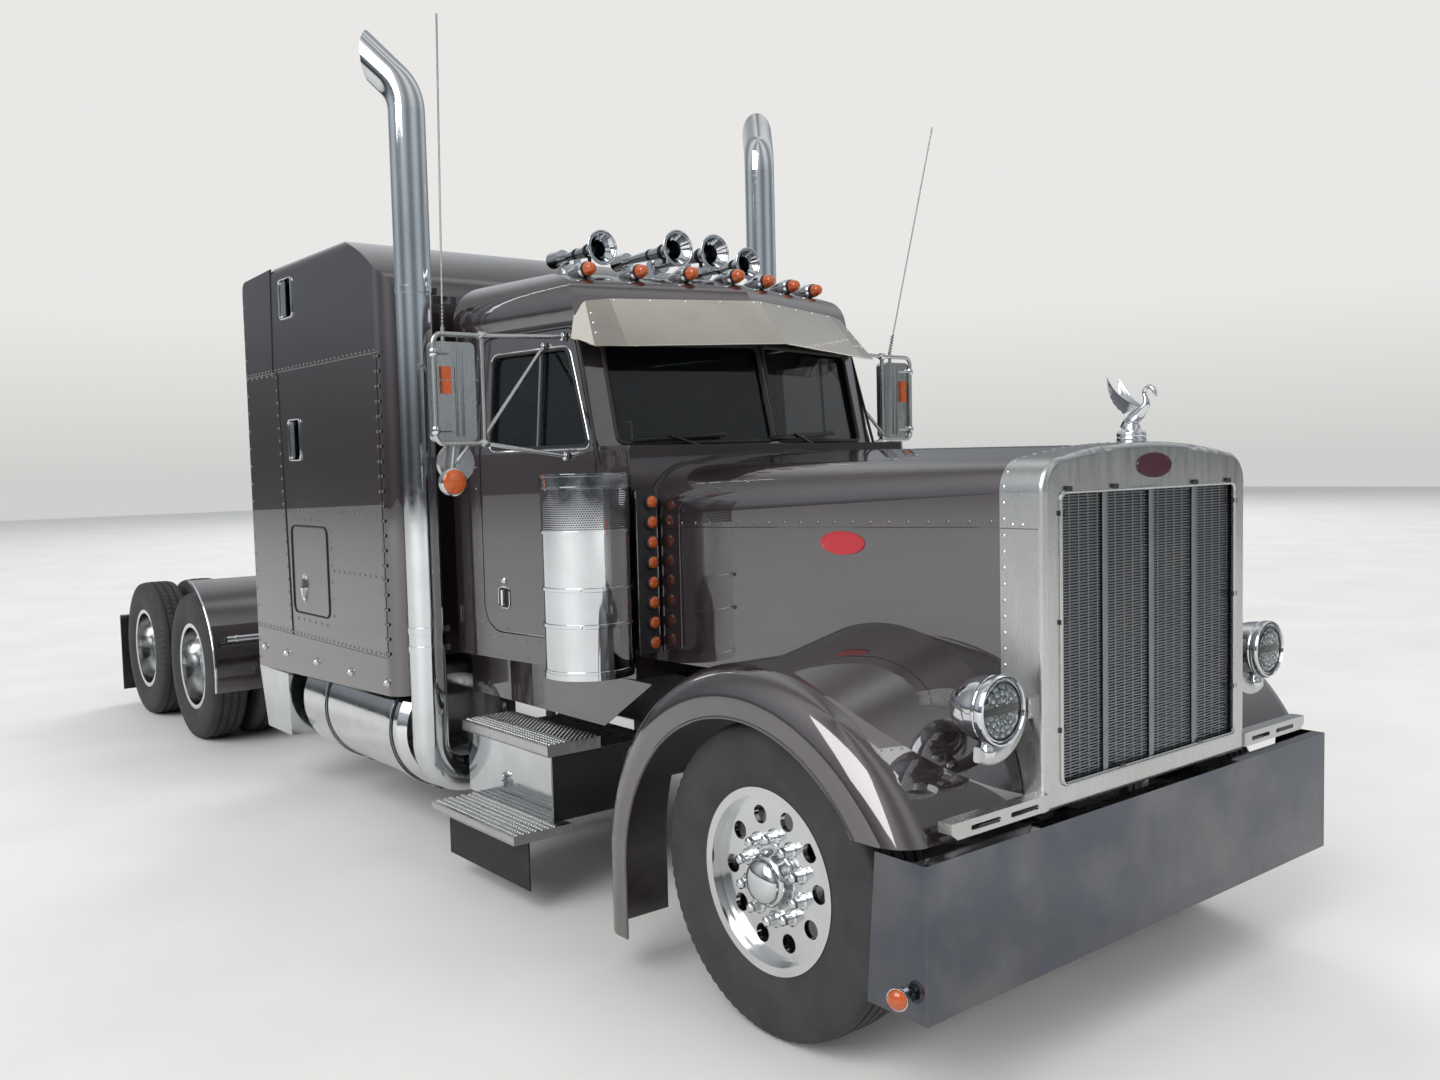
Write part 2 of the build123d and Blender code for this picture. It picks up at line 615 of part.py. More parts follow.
def brow_cutter(start_x, top, centre, radius, lean):
    """Side-view face of everything above a roof's front edge.
    The edge leaves the level top at start_x on a wide arc of radius R and ends on a small arc of radius r,
    whose last normal leans up by the given angle. With (a, b) from the start to the small arc's centre,
    the two arcs touch when R = (r² - a² - b²) / (2 (b + r))."""
    a, b = centre[0] - start_x, centre[1] - top
    wide = (radius ** 2 - a ** 2 - b ** 2) / (2 * (b + radius))
    meet = math.atan2(b + wide, a)

    def at(middle, r, angle):
        return (middle[0] + r * math.cos(angle), 0, middle[1] + r * math.sin(angle))

    hub = (start_x, top - wide)
    begin, touch, end = at(hub, wide, math.pi / 2), at(hub, wide, meet), at(centre, radius, lean)
    first = ThreePointArc(begin, at(hub, wide, (math.pi / 2 + meet) / 2), touch)
    second = ThreePointArc(touch, at(centre, radius, (meet + lean) / 2), end)
    front, over = end[0] + 900, top + 400
    rest = Polyline(end, (front, 0, end[2]), (front, 0, over), (start_x, 0, over), begin)
    return make_face(first + second + rest)


def cab_section(x, half_w, inset):
    """Front-view outline of the cab at one x: straight doors, leaning window band and round roof edges."""
    floor = CAB_FLOOR_Z + (CAB_FLOOR_T if inset else 0)
    w, roof, band_z = half_w - inset, CAB_ROOF_Z - inset, 2640
    lean = w - 45
    roof_w = lean - 190
    low = Polyline((x, -w, floor), (x, -w, CAB_BELT_Z), (x, -lean, band_z))
    edge = ThreePointArc((x, -lean, band_z), (x, -lean + 48, roof - 52), (x, -roof_w, roof))
    crown = ThreePointArc(edge @ 1, (x, 0, roof + CAB_CROWN), (x, roof_w, roof))
    edge2 = ThreePointArc(crown @ 1, (x, lean - 48, roof - 52), (x, lean, band_z))
    high = Polyline((x, lean, band_z), (x, w, CAB_BELT_Z), (x, w, floor), (x, -w, floor))
    return make_face(low + edge + crown + edge2 + high)


def windshield_wedge(back):
    """Everything in front of the two windshield planes, moved back by the given distance."""
    faces, half, front = [], 1300, 3600
    for z in (COWL_Z, 3100.0):
        x = WINDSHIELD_X - WINDSHIELD_LEAN * (z - COWL_Z) - back
        side = x - WINDSHIELD_SWEEP * half
        ring = [(x, 0, z), (side, half, z), (front, half, z), (front, -half, z), (side, -half, z)]
        faces.append(make_face(Polyline(*ring, close=True)))
    return loft(faces, ruled=True)


def cab_form(inset):
    """Solid form of the cab, drawn in by inset, with its brow and its rounded rear roof edge."""
    rear_x, front_x = CAB_REAR_X + inset, CAB_FRONT_X - inset
    slope = (CAB_REAR_HALF_W - CAB_FRONT_HALF_W) / (CAB_FRONT_X - CAB_REAR_X)
    rear = cab_section(rear_x, CAB_REAR_HALF_W - slope * inset, inset)
    front = cab_section(front_x, CAB_FRONT_HALF_W + slope * inset, inset)
    form = loft([rear, front], ruled=True)
    top = CAB_ROOF_Z + CAB_CROWN + 2 - inset
    over = brow_cutter(BROW_START_X, top, BROW_CENTRE, BROW_R - inset, math.atan(WINDSHIELD_LEAN))
    for sign in (-1, 1):
        sweep_dir = Vector(-WINDSHIELD_SWEEP, sign, 0)
        form -= extrude(over, amount=1200 * sweep_dir.length, dir=sweep_dir.normalized())
    r = CAB_REAR_ROUND - inset
    k = r * (1 - math.sqrt(0.5))
    turn = ThreePointArc((rear_x, 0, top - r), (rear_x + k, 0, top - k), (rear_x + r, 0, top))
    back, above = rear_x - 99, top + 99
    rest = Polyline(turn @ 1, (rear_x + r, 0, above), (back, 0, above), (back, 0, top - r), turn @ 0)
    form -= Pos(0, -1200, 0) * extrude(make_face(turn + rest), amount=2400, dir=(0, 1, 0))
    return form - Pos(0, 0, -inset) * windshield_wedge(inset * 0.96)


def door_shape(gap, y0, y1):
    """Side view of the door, grown by gap, carried from y0 to y1."""
    points = [
        (2550 + gap, 1195 - gap), (2550 + gap, 2020), (2365 + gap, 2605 + gap),
        (1688 - gap, 2605 + gap), (1688 - gap, 1195 - gap),
    ]
    return rounded_panel(points, [30 + gap, 60 + gap, 50 + gap, 60 + gap, 130 + gap], y0, y1)


def door_window(gap, y0, y1):
    low, high, rear = 2076 - gap, 2516 + gap, 1772 - gap
    points = [(2505 + gap, low), (2336 + gap, high), (rear, high), (rear, low)]
    return rounded_panel(points, [25 + gap, 35 + gap, 45 + gap, 45 + gap], y0, y1)


def windshield_panes(gap):
    """The two windshield openings, seen from the front, grown by gap."""
    panes = Part()
    for sign in (-1, 1):
        pane = block((2000, 3000), (sign * (14 - gap), sign * (755 + gap)), (2082 - gap, 2530 + gap))
        panes += fillet(pane.edges().filter_by(Axis.X), 30 + gap)
    return panes


def passage(wall_x):
    """Opening through the wall between the cab and the sleeper."""
    return block((wall_x - 80, wall_x + 80), (-PASSAGE_Y, PASSAGE_Y), PASSAGE_Z)


def build_cab():
    """Cab shell, the two doors, their glass and the windshield."""
    outer = cab_form(0)
    wall = outer - cab_form(CAB_WALL)
    shell = wall - windshield_panes(0) - passage(CAB_REAR_X)
    doors, windows = {}, {}
    for name, sign in SIDES:
        span = (sign * DOOR_INNER_Y, sign * DOOR_OUTER_Y)
        shell -= door_shape(DOOR_GAP, *span)
        panel = wall & door_shape(0, *span)
        doors[name] = panel - door_window(0, *span)
        depth = sign * GLASS_DEPTH
        sheet = Pos(0, -depth, 0) * outer - Pos(0, -depth - sign * GLASS_T, 0) * outer
        windows[name] = (panel & door_window(-GLASS_FIT, *span)) & sheet
    glass = windshield_wedge(GLASS_DEPTH + GLASS_T) - windshield_wedge(GLASS_DEPTH)
    return shell, doors, windows, glass & windshield_panes(-GLASS_FIT) & outer


def build_interior():
    """Dashboard, its lower panel and the steering wheel."""
    inside = block((2480, 2725), (-700, 700), (1500, 1960))
    inside = fillet(inside.edges().filter_by(Axis.Y).group_by(Axis.X)[0], 60)
    inside += block((2600, 2725), (-640, 640), (CAB_FLOOR_Z + CAB_FLOOR_T, 1500))
    hub = (2330, 480, 1900)
    wheel = Plane(origin=hub, z_dir=(-0.77, 0, 0.64))
    return inside + rod((2500, 480, 1760), hub, 30) + wheel * Torus(220, 16) + wheel * Box(430, 50, 16)


def build_seats():
    """Two seats on pedestals; each back stands behind its cushion."""
    seats = Part()
    for sign in (-1, 1):
        y = sign * 480
        seats += block((1750, 2230), (y - 250, y + 250), (1500, 1640))
        seats += block((1660, 1780), (y - 240, y + 240), (1600, 2330))
        seats += block((1830, 2130), (y - 140, y + 140), (CAB_FLOOR_Z + CAB_FLOOR_T, 1500))
    return seats


# Cab roof pieces


def build_visor(cab):
    """Bent plate over the windshield: a fold on the centre line and an end on each side that turns back."""
    fold_low, fold_top, outwards = (2850, 0, 2525), (2652, 0, 2741), (0.74, 0, 0.67)
    visor = Part()
    for sign in (-1, 1):
        low, high = (2620, sign * 731, 2505), (sign * 690, 2735)
        top = on_plane(fold_low, low, fold_top, *high)
        end_low = (2560, sign * 868, 2507)
        end_top = on_plane(low, end_low, top, sign * 800, 2722)
        back_low = (2430, sign * 905, 2552)
        back_top = on_plane(end_low, back_low, end_top, sign * 846, 2675)
        visor += plate([fold_low, low, top, fold_top], 5, outwards)
        visor += plate([low, end_low, end_top, top], 5, outwards)
        visor += plate([end_low, back_low, back_top, end_top], 5, outwards)
    return visor - cab


def build_roof_lamps(cab):
    """Seven torpedo-shaped marker lamps that stand on the front edge of the roof."""
    lamps = Part()
    body = [(0, 0), (0, 30), (-20, 37), (-60, 36), (-150, 14), (-190, 0)]
    for y, x, z in ((0, 2493, 2881), (241, 2440, 2881), (479, 2365, 2883), (713, 2284, 2887)):
        profile = [(x + dx, r) for dx, r in body]
        for side in (-1, 1) if y else (1,):
            foot = block((x - 90, x - 40), (side * y - 14, side * y + 14), (2700, z - 15))
            lamps += turned_x(profile, side * y, z) + foot - cab
    return lamps


def build_horns(cab):
    """Four open trumpets side by side, the inner pair larger and further forward."""
    horns = Part()
    for y, x, z, bell_r, length in ((117, 2196, 3048, 80, 480), (465, 2047, 3043, 74, 400)):
        throat, flare, skin = 0.42 * bell_r, 0.66 * bell_r, 6
        outside = [(x - length, 0), (x - length, 16), (x - 110, throat), (x - 40, flare), (x - skin, bell_r)]
        inside = [(x, bell_r), (x, bell_r - skin), (x - 40, flare - skin)]
        inside += [(x - 110, throat - skin), (x - 200, 0)]
        for side in (-1, 1):
            horns += turned_x(outside + inside, side * y, z)
            horns += rod((x - length + 40, side * y, z), (x - length - 60, side * y, z), 42)
            for foot_x in (x - 230, x - length + 20):
                foot = block((foot_x - 15, foot_x + 15), (side * y - 12, side * y + 12), (2800, z - 12))
                horns += foot - cab
    return horns


# Sleeper


def sleeper_plan(inset, x0, z0, z1):
    """Upright block over the sleeper's floor plan, with its two round front corners."""
    w = SLEEPER_HALF_W - inset
    plan = block((x0, SLEEPER_FRONT_X - inset), (-w, w), (z0, z1))
    return fillet(plan.edges().filter_by(Axis.Z).group_by(Axis.X)[-1], SLEEPER_CORNER_R - inset)


def sleeper_form(inset):
    """Box with crowned roof, round front corners and a long sloping brow."""
    w, floor = SLEEPER_HALF_W - inset, SLEEPER_FLOOR_Z + (60 if inset else 0)
    x0, x1 = SLEEPER_REAR_X + inset, SLEEPER_FRONT_X - inset
    top, crown, edge = SLEEPER_SIDE_TOP_Z - inset, SLEEPER_CROWN_Z - inset, 60.0
    c = edge * (1 - math.sqrt(0.5))
    up = Line((x0, -w, floor), (x0, -w, top - edge))
    arc = ThreePointArc(up @ 1, (x0, -w + c, top - c), (x0, -w + edge, top))
    roof = ThreePointArc(arc @ 1, (x0, 0, crown), (x0, w - edge, top))
    arc2 = ThreePointArc(roof @ 1, (x0, w - c, top - c), (x0, w, top - edge))
    down = Line(arc2 @ 1, (x0, w, floor))
    section = make_face(up + arc + roof + arc2 + down + Line(down @ 1, up @ 0))
    body = extrude(section, amount=x1 - x0, dir=(1, 0, 0))
    body &= sleeper_plan(inset, x0 - 1, floor - 1, crown + 50)
    over = brow_cutter(SLEEPER_BROW_X, crown + 2, SLEEPER_BROW_CENTRE, SLEEPER_BROW_R - inset, 0)
    return body - Pos(0, -w - 5, 0) * extrude(over, amount=2 * w + 10, dir=(0, 1, 0))


def luggage_shape(gap, y0, y1):
    x0, x1, z0, z1 = LUGGAGE_X[0] - gap, LUGGAGE_X[1] + gap, LUGGAGE_Z[0] - gap, LUGGAGE_Z[1] + gap
    return rounded_panel([(x1, z0), (x1, z1), (x0, z1), (x0, z0)], [55 + gap] * 4, y0, y1)


def slot_shape(x0, x1, z0, z1, gap, sign):
    pane = block((x0 - gap, x1 + gap), (sign * 1100, sign * 1300), (z0 - gap, z1 + gap))
    return fillet(pane.edges().filter_by(Axis.Y), 25 + gap)


def build_sleeper():
    """Sleeper shell, the two luggage doors and the narrow window panes."""
    wall = sleeper_form(0) - sleeper_form(SLEEPER_WALL)
    shell = wall - passage(SLEEPER_FRONT_X)
    doors, panes = {}, Part()
    for name, sign in SIDES:
        span = (sign * 1100, sign * 1300)
        shell -= luggage_shape(DOOR_GAP, *span)
        doors[name] = wall & luggage_shape(0, *span)
        sheet_y = (sign * 1180, sign * (1180 + GLASS_T))
        for slot in SLOTS:
            shell -= slot_shape(*slot, 0, sign)
            panes += slot_shape(*slot, -GLASS_FIT, sign) & block((-1000, 1000), sheet_y, (1000, 3300))
    return shell, doors, panes


def build_boot():
    """Rubber bellows frame that closes the gap between the cab's rear wall and the sleeper."""
    outer = block((SLEEPER_FRONT_X, CAB_REAR_X), (-430, 430), (1220, 2380))
    return outer - block((SLEEPER_FRONT_X - 5, CAB_REAR_X + 5), (-390, 390), (1260, 2340))


def build_extenders():
    """Thin wings that carry the sleeper's sides backwards."""
    rear, front, y = EXTENDER_REAR_X, SLEEPER_REAR_X, SLEEPER_HALF_W
    outline = [(rear, 741), (front, 757), (front, SLEEPER_SIDE_TOP_Z - 12), (rear, SLEEPER_SIDE_TOP_Z - 32)]
    wing = side_prism(outline, -y, -y + 8)
    corner = wing.edges().filter_by(Axis.Y).group_by(Axis.X)[0].sort_by(Axis.Z)[-1]
    return both_sides(fillet(corner, 60))


def build_skirts():
    """Panels under the sleeper, which follow its plan round the front corner, and under the cab."""
    rear, front, y = SLEEPER_REAR_X, SLEEPER_FRONT_X, SLEEPER_HALF_W
    band = sleeper_plan(0, rear, 700, SLEEPER_FLOOR_Z) - sleeper_plan(6, rear - 5, 690, SLEEPER_FLOOR_Z + 5)
    band -= side_prism([(rear - 5, 600), (front + 5, 600), (front + 5, 810), (rear - 5, 757)], -y - 5, y + 5)
    band -= block((rear - 5, front + 5), (-1015, 1015), (600, 1100))
    line = [(1300, CAB_FLOOR_Z), (1300, 828), (2540, 828), (2905, CAB_FLOOR_Z - 5), (2905, CAB_FLOOR_Z)]
    return band + both_sides(side_prism(line, -860, -854))


# Tanks, steps, exhaust and air cleaners


def build_tanks():
    rear, front = TANK_X
    profile = [(rear, 0), (rear, 290), (rear + 40, TANK_R), (front - 40, TANK_R), (front, 290), (front, 0)]
    tank = turned_x(profile, -TANK_Y, TANK_Z)
    for x in TANK_STRAPS_X:
        tank += rod((x - 30, -TANK_Y, TANK_Z), (x + 30, -TANK_Y, TANK_Z), TANK_R + 6)
    return both_sides(tank)


def build_tank_fairings():
    """Closed box with slanted ends that fills the space behind each tank, held by a plate from the rail."""
    box = side_prism([(-1005, 740), (-487, 740), (-469, 357), (-885, 357)], -1200, -640)
    return both_sides(box + block((-900, -500), (-640, -RAIL_Y), (730, 740)))


def build_steps():
    box = block(STEP_BOX_X, (-STEP_BOX_Y, -RAIL_Y), STEP_BOX_Z)
    top_z = (STEP_BOX_Z[1], STEP_BOX_Z[1] + 55)
    box += block((STEP_BOX_X[0] - 10, STEP_BOX_X[1] + 10), (-STEP_BOX_Y - 27, -760), top_z)
    return both_sides(box + block(LOW_STEP_X, (-LOW_STEP_Y, -STEP_BOX_Y + 58), (LOW_STEP_Z, STEP_BOX_Z[0])))


def build_step_flaps():
    """Rubber flaps that hang from the low steps."""
    return both_sides(block((LOW_STEP_X[0] + 25, LOW_STEP_X[1] - 15), (-1180, -1172), (110, LOW_STEP_Z)))


def build_exhaust():
    """Right-hand stack: elbow from under the cab, tall pipe and a bent top cut upright."""
    x, y = STACK_X, -STACK_Y
    lean = Vector(-math.cos(STACK_LEAN), -math.sin(STACK_LEAN), 0)
    reach, run = 190, 700
    path = [
        (x, -RAIL_Y - 20, STACK_LOW_Z), (x, y, STACK_LOW_Z), (x, y, STACK_BEND_Z + 90),
        (x + lean.X * run, y + lean.Y * run, STACK_BEND_Z + 90 + run),
    ]
    stack = pipe(path, [190, 220], STACK_R, STACK_R - STACK_WALL)
    cut = Plane(origin=(x + lean.X * reach, y + lean.Y * reach, STACK_BEND_Z), z_dir=lean)
    return stack - cut * Pos(0, 0, 1000) * Box(2500, 2500, 2000)


def build_cleaner(cab):
    """Right-hand air cleaner: upright can with raised bands, held to the cab's side."""
    x, y = CLEANER_X, -CLEANER_Y
    can = Pos(x, y, 1530) * Cylinder(CLEANER_R - 6, 800)
    for z, height in ((1925, 60), (1120, 24), (1480, 12), (1330, 12), (1715, 12)):
        can += Pos(x, y, z) * Cylinder(CLEANER_R, height)
    return can + block((x - 60, x + 45), (y + 150, -830), (1450, 1500)) - cab


def build_cowl_lamps():
    """Upright plate behind the hood on each side with a column of eight small lamps."""
    plate_x, lamp_y, pitch = 2826, 790, 86
    column = block((plate_x, plate_x + 6), (-866, -755), (1180, 1880))
    column += block((CAB_FRONT_X, plate_x), (-lamp_y - 25, -lamp_y + 25), (1250, 1800))
    for i in range(8):
        z = 1225 + pitch * i
        column += rod((plate_x + 6, -lamp_y, z), (plate_x + 22, -lamp_y, z), 24)
    return both_sides(column)


# Mirrors


def build_mirror():
    """Right-hand mirror: flat head in a bent tube loop, round mirror, round lamp and whip aerial."""
    head = block((2190, 2252), (-1480, -1285), (2105, 2530))
    head = fillet(head.edges().filter_by(Axis.X), 24)
    tube, x, outer, inner, top, low = 11, 2262, -1484, -1255, 2560, 2093
    loop = [(x, inner, top), (x, outer, top), (x, outer, low), (x, inner, low)]
    mirror_set = head + pipe(loop, [40, 40], tube)
    mirror_set += rod((x, inner, top), (x, inner, low), tube)
    for z in (2150, 2480):
        mirror_set += rod((2245, -1400, z), (x, outer + 4, z), 7)
    feet = ((top, 2316, -861, 2569), (low, 2362, -895, 2032), (low + 32, 2175, -881, 2535))
    for start_z, foot_x, door_y, foot_z in feet:
        mirror_set += rod((x, inner, start_z), (foot_x, door_y - 9, foot_z), 10)
        mirror_set += rod((foot_x, door_y - 3, foot_z), (foot_x, door_y - 14, foot_z), 20)
    round_x, round_y, round_z, lamp_z = 2200, -1375, 2012, 1930
    mirror_set += rod((round_x, round_y, round_z), (round_x + 28, round_y, round_z), 84)
    mirror_set += rod((round_x + 20, round_y, round_z), (x, -1330, low), 8)
    mirror_set += rod((2258, -1423, lamp_z), (2290, -1423, lamp_z), 58)
    mirror_set += rod((2262, -1423, lamp_z), (x, -1400, low), 8)
    mirror_set += rod((2187, -1400, 2500), (2187, -1400, 2600), 9)
    return mirror_set + rod((2187, -1400, 2590), (2440, -1500, 3824), 4)


# Rear fenders, mud flaps, tail lamps and fifth wheel


def build_rear_fenders():
    """Quarter fender ahead of the first drive axle and mud flap behind the last, on rods from the rails."""
    x, flap_x, radius = DRIVE_AXLES_X[0], -4560, 668
    ring = rod((x, -1225, TYRE_R), (x, -610, TYRE_R), radius)
    ring -= rod((x, -1230, TYRE_R), (x, -600, TYRE_R), radius - 6)
    sector = [(x + 200, 2000), (x + 60, TYRE_R), (x + 1000, TYRE_R - 190), (x + 1000, 2000)]
    quarter = ring & side_prism(sector, -1300, -500)
    quarter += rod((x + 640, -RAIL_Y, 800), (x + 640, -640, 800), 22)
    flap = block((flap_x, flap_x + 10), (-1230, -625), (120, 745))
    return both_sides(Part() + quarter + flap + rod((flap_x + 5, -RAIL_Y, 760), (flap_x + 5, -1230, 760), 16))


def build_tail_lamps():
    x, y = FRAME_REAR_X, -RAIL_Y
    bar = block((x, x + 8), (y - 220, y), (780, 920))
    for lamp_y in (y - 60, y - 165):
        bar += rod((x + 8, lamp_y, 850), (x + 40, lamp_y, 850), 45)
    return both_sides(bar)


def build_fifth_base():
    x, z = FIFTH_X, RAIL_TOP_Z + 16
    base = block((x - 380, x + 380), (-RAIL_Y, RAIL_Y), (RAIL_TOP_Z, z))
    foot_line = [(x - 220, z), (x + 220, z), (x + 55, FIFTH_PIVOT_Z + 40), (x - 55, FIFTH_PIVOT_Z + 40)]
    foot = side_prism(foot_line, -400, -330)
    foot -= rod((x, -300, FIFTH_PIVOT_Z), (x, -450, FIFTH_PIVOT_Z), FIFTH_PIN_R + RUNNING_GAP)
    return base + both_sides(foot)


def build_fifth_plate():
    x, jaw = FIFTH_X, KINGPIN_JAW_R
    under = FIFTH_TOP_Z - FIFTH_PLATE_T
    half = [(x + 420, 300), (x + 300, 455), (x - 120, 455), (x - 470, 330), (x - 560, 190)]
    half += [(x - 80, jaw), (x, jaw)]
    outline = half + [(a, -b) for a, b in reversed(half)]
    face = make_face(Polyline(*[(a, b, under) for a, b in outline], close=True))
    top = extrude(face, amount=FIFTH_PLATE_T, dir=(0, 0, 1)) - Pos(x, 0, FIFTH_TOP_Z) * Cylinder(jaw, 200)
    for sign in (-1, 1):
        y0, y1 = sign * 262, sign * 322
        top += block((x - 60, x + 60), (y0, y1), (FIFTH_PIVOT_Z, under))
        top += rod((x, y0, FIFTH_PIVOT_Z), (x, y1, FIFTH_PIVOT_Z), 45)
        top += rod((x, y0, FIFTH_PIVOT_Z), (x, sign * 410, FIFTH_PIVOT_Z), FIFTH_PIN_R)
    return top


# Build and write every piece


def main():
    save("frame", build_frame())
    save("front_bumper", build_bumper())
    save("front_axle", build_front_axle())
    save("drive_axles", build_drive_axles())
    save("rear_suspension", build_rear_suspension())
    save("engine_block", build_engine())
    save("radiator", build_radiator())
    save("hood", build_hood())
    save("grille_shell", build_grille_shell())
    save("grille", build_grille())
    save("fenders", both_sides(build_fender()))
    save("headlamps", both_sides(build_headlamp()))
    save("hood_ornament", build_ornament())
    cab, doors, windows, glass = build_cab()
    save("cab_shell", cab)
    save("windshield", glass)
    save("cab_interior", build_interior())
    save("seats", build_seats())
    cab_solid = cab_form(0)
    save("sun_visor", build_visor(cab_solid))
    save("roof_lamps", build_roof_lamps(cab_solid))
    save("air_horns", build_horns(cab_solid))
    sleeper, luggage, panes = build_sleeper()
    save("sleeper_shell", sleeper)
    save("sleeper_windows", panes)
    save("cab_boot", build_boot())
    save("side_extenders", build_extenders())
    save("body_skirts", build_skirts())
    save("fuel_tanks", build_tanks())
    save("tank_fairings", build_tank_fairings())
    save("step_boxes", build_steps())
    save("step_flaps", build_step_flaps())
    save("exhaust_stacks", both_sides(build_exhaust()))
    save("air_cleaners", both_sides(build_cleaner(cab_solid)))
    save("cowl_lamps", build_cowl_lamps())
    save("rear_fenders", build_rear_fenders())
    save("tail_lamps", build_tail_lamps())
    save("fifth_wheel_base", build_fifth_base())
    save("fifth_wheel_plate", build_fifth_plate())
    save("tie_rod", build_tie_rod())
    tyre, rim = build_front_wheel()
    door_mirror, knuckle = build_mirror(), build_knuckle()
    for name, sign in SIDES:
        save(f"door_{name}", doors[name])
        save(f"window_{name}", windows[name])
        save(f"luggage_door_{name}", luggage[name])
        save(f"mirror_{name}", on_side(door_mirror, sign))
        save(f"knuckle_{name}", on_side(knuckle, sign))
        save(f"front_tyre_{name}", on_side(tyre, sign))
        save(f"front_rim_{name}", on_side(rim, sign))
    for number, x in enumerate(DRIVE_AXLES_X, 1):
        tyres, rims = build_rear_wheel(x)
        for name, sign in SIDES:
            save(f"rear_tyres_{number}_{name}", on_side(tyres, sign))
            save(f"rear_rims_{number}_{name}", on_side(rims, sign))


main()
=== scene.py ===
# %% [markdown]
# A long-nose semi truck tractor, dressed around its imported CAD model.
# The CAD model fixes every size and every moving body; this lesson adds what the eye reads up close:
# paint, polished metal, rubber, glass, rivets, the woven grille, tread and lamps.
# Everything is in metres, X forward, Y to the truck's left, Z up, with the ground at zero.

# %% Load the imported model
import math

import bmesh
import bpy
import numpy as np
from mathutils import Matrix


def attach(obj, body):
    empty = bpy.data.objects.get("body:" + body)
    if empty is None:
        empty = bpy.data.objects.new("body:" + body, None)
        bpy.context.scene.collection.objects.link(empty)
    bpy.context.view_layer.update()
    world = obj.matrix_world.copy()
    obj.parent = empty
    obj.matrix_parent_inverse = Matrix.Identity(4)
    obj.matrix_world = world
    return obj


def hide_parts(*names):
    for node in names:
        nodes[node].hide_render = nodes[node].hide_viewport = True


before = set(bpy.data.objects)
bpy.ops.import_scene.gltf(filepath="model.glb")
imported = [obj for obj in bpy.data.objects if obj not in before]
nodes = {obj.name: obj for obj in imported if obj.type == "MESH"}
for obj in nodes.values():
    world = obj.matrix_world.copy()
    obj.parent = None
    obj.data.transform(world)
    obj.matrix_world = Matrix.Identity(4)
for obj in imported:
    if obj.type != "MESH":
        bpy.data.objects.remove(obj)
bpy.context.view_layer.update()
SIDES = (("right", -1.0), ("left", 1.0))

# %% [markdown]
# Every new piece is worked out as whole arrays. A shape is a pair: its points, and four-sided faces that
# index them. Grids cover most forms, because a lathe, a tube and a bent sheet are all a grid of points
# that is closed one way or the other.

# %% Grids of points and the mesh maker


def unit(v):
    """Each vector divided by its own length."""
    v = np.asarray(v, float)
    return v / np.linalg.norm(v, axis=-1, keepdims=True)


def grid(points, close_u=False, close_v=False):
    """A shape from points laid out as rows u by columns v: point (u, v) joins (u, v+1),
    (u+1, v+1) and (u+1, v)."""
    rows, columns = points.shape[:2]
    u = np.arange(rows if close_u else rows - 1)
    v = np.arange(columns if close_v else columns - 1)
    a, b = np.meshgrid(u, v, indexing="ij")
    a2, b2 = (a + 1) % rows, (b + 1) % columns
    faces = np.stack([a * columns + b, a * columns + b2, a2 * columns + b2, a2 * columns + b], -1)
    return points.reshape(-1, 3), faces.reshape(-1, 4)


def merge(shapes):
    """Several shapes as one: the faces of each are shifted past the points before them."""
    points, faces, first = [], [], 0
    for p, f in shapes:
        points.append(p)
        faces.append(f + first)
        first += len(p)
    return np.concatenate(points), np.concatenate(faces)


def piece(name, shapes, material, body, replaces=(), sharp=35.0, weld=1e-5):
    """One object from shapes: points welded, faces turned outwards, edges over `sharp` degrees kept."""
    points, faces = merge(shapes)
    mesh = bpy.data.meshes.new(name)
    mesh.from_pydata(points.tolist(), [], faces.tolist())
    work = bmesh.new()
    work.from_mesh(mesh)
    bmesh.ops.remove_doubles(work, verts=work.verts, dist=weld)
    bmesh.ops.dissolve_degenerate(work, edges=work.edges, dist=weld)
    bmesh.ops.recalc_face_normals(work, faces=work.faces)
    work.to_mesh(mesh)
    work.free()
    mesh.shade_smooth()
    mesh.set_sharp_from_angle(angle=math.radians(sharp))
    obj = bpy.data.objects.new(name, mesh)
    bpy.context.scene.collection.objects.link(obj)
    obj.data.materials.append(material)
    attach(obj, body)
    if replaces:
        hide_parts(*replaces)
    return obj


# %% [markdown]
# Four generators make nearly all the parts: a lathe for round things, a tube for bent bars, a box
# for plates, and copies of one small form set at many places with a given direction.

# %% Lathe, tube, box and copies


def axes_from(direction):
    """Rows x, y, z of a frame: z is the direction, x its cross product with a reference axis."""
    z = unit(np.atleast_2d(direction))
    reference = np.where(np.abs(z[:, 2:3]) > 0.9, [[1.0, 0.0, 0.0]], [[0.0, 0.0, 1.0]])
    x = unit(np.cross(reference, z))
    return np.stack([x, np.cross(z, x), z], 1)


def lathe(profile, centre=(0, 0, 0), direction=(0, 0, 1), steps=48, sides=0):
    """Points (r, h) turned about the direction: p = centre + r (x cos a + y sin a) + h z.
    With sides, r follows a polygon."""
    profile = np.asarray(profile, float)
    a = np.linspace(0, 2 * np.pi, steps, endpoint=False)
    x, y, z = axes_from(direction)[0]
    stretch = np.ones_like(a)
    if sides:
        half = np.pi / sides
        stretch = np.cos(half) / np.cos((a % (2 * half)) - half)
    ring = (x[None] * np.cos(a)[:, None] + y[None] * np.sin(a)[:, None]) * stretch[:, None]
    points = np.asarray(centre) + profile[:, None, :1] * ring[None] + profile[:, None, 1:] * z
    return grid(points, close_v=True)


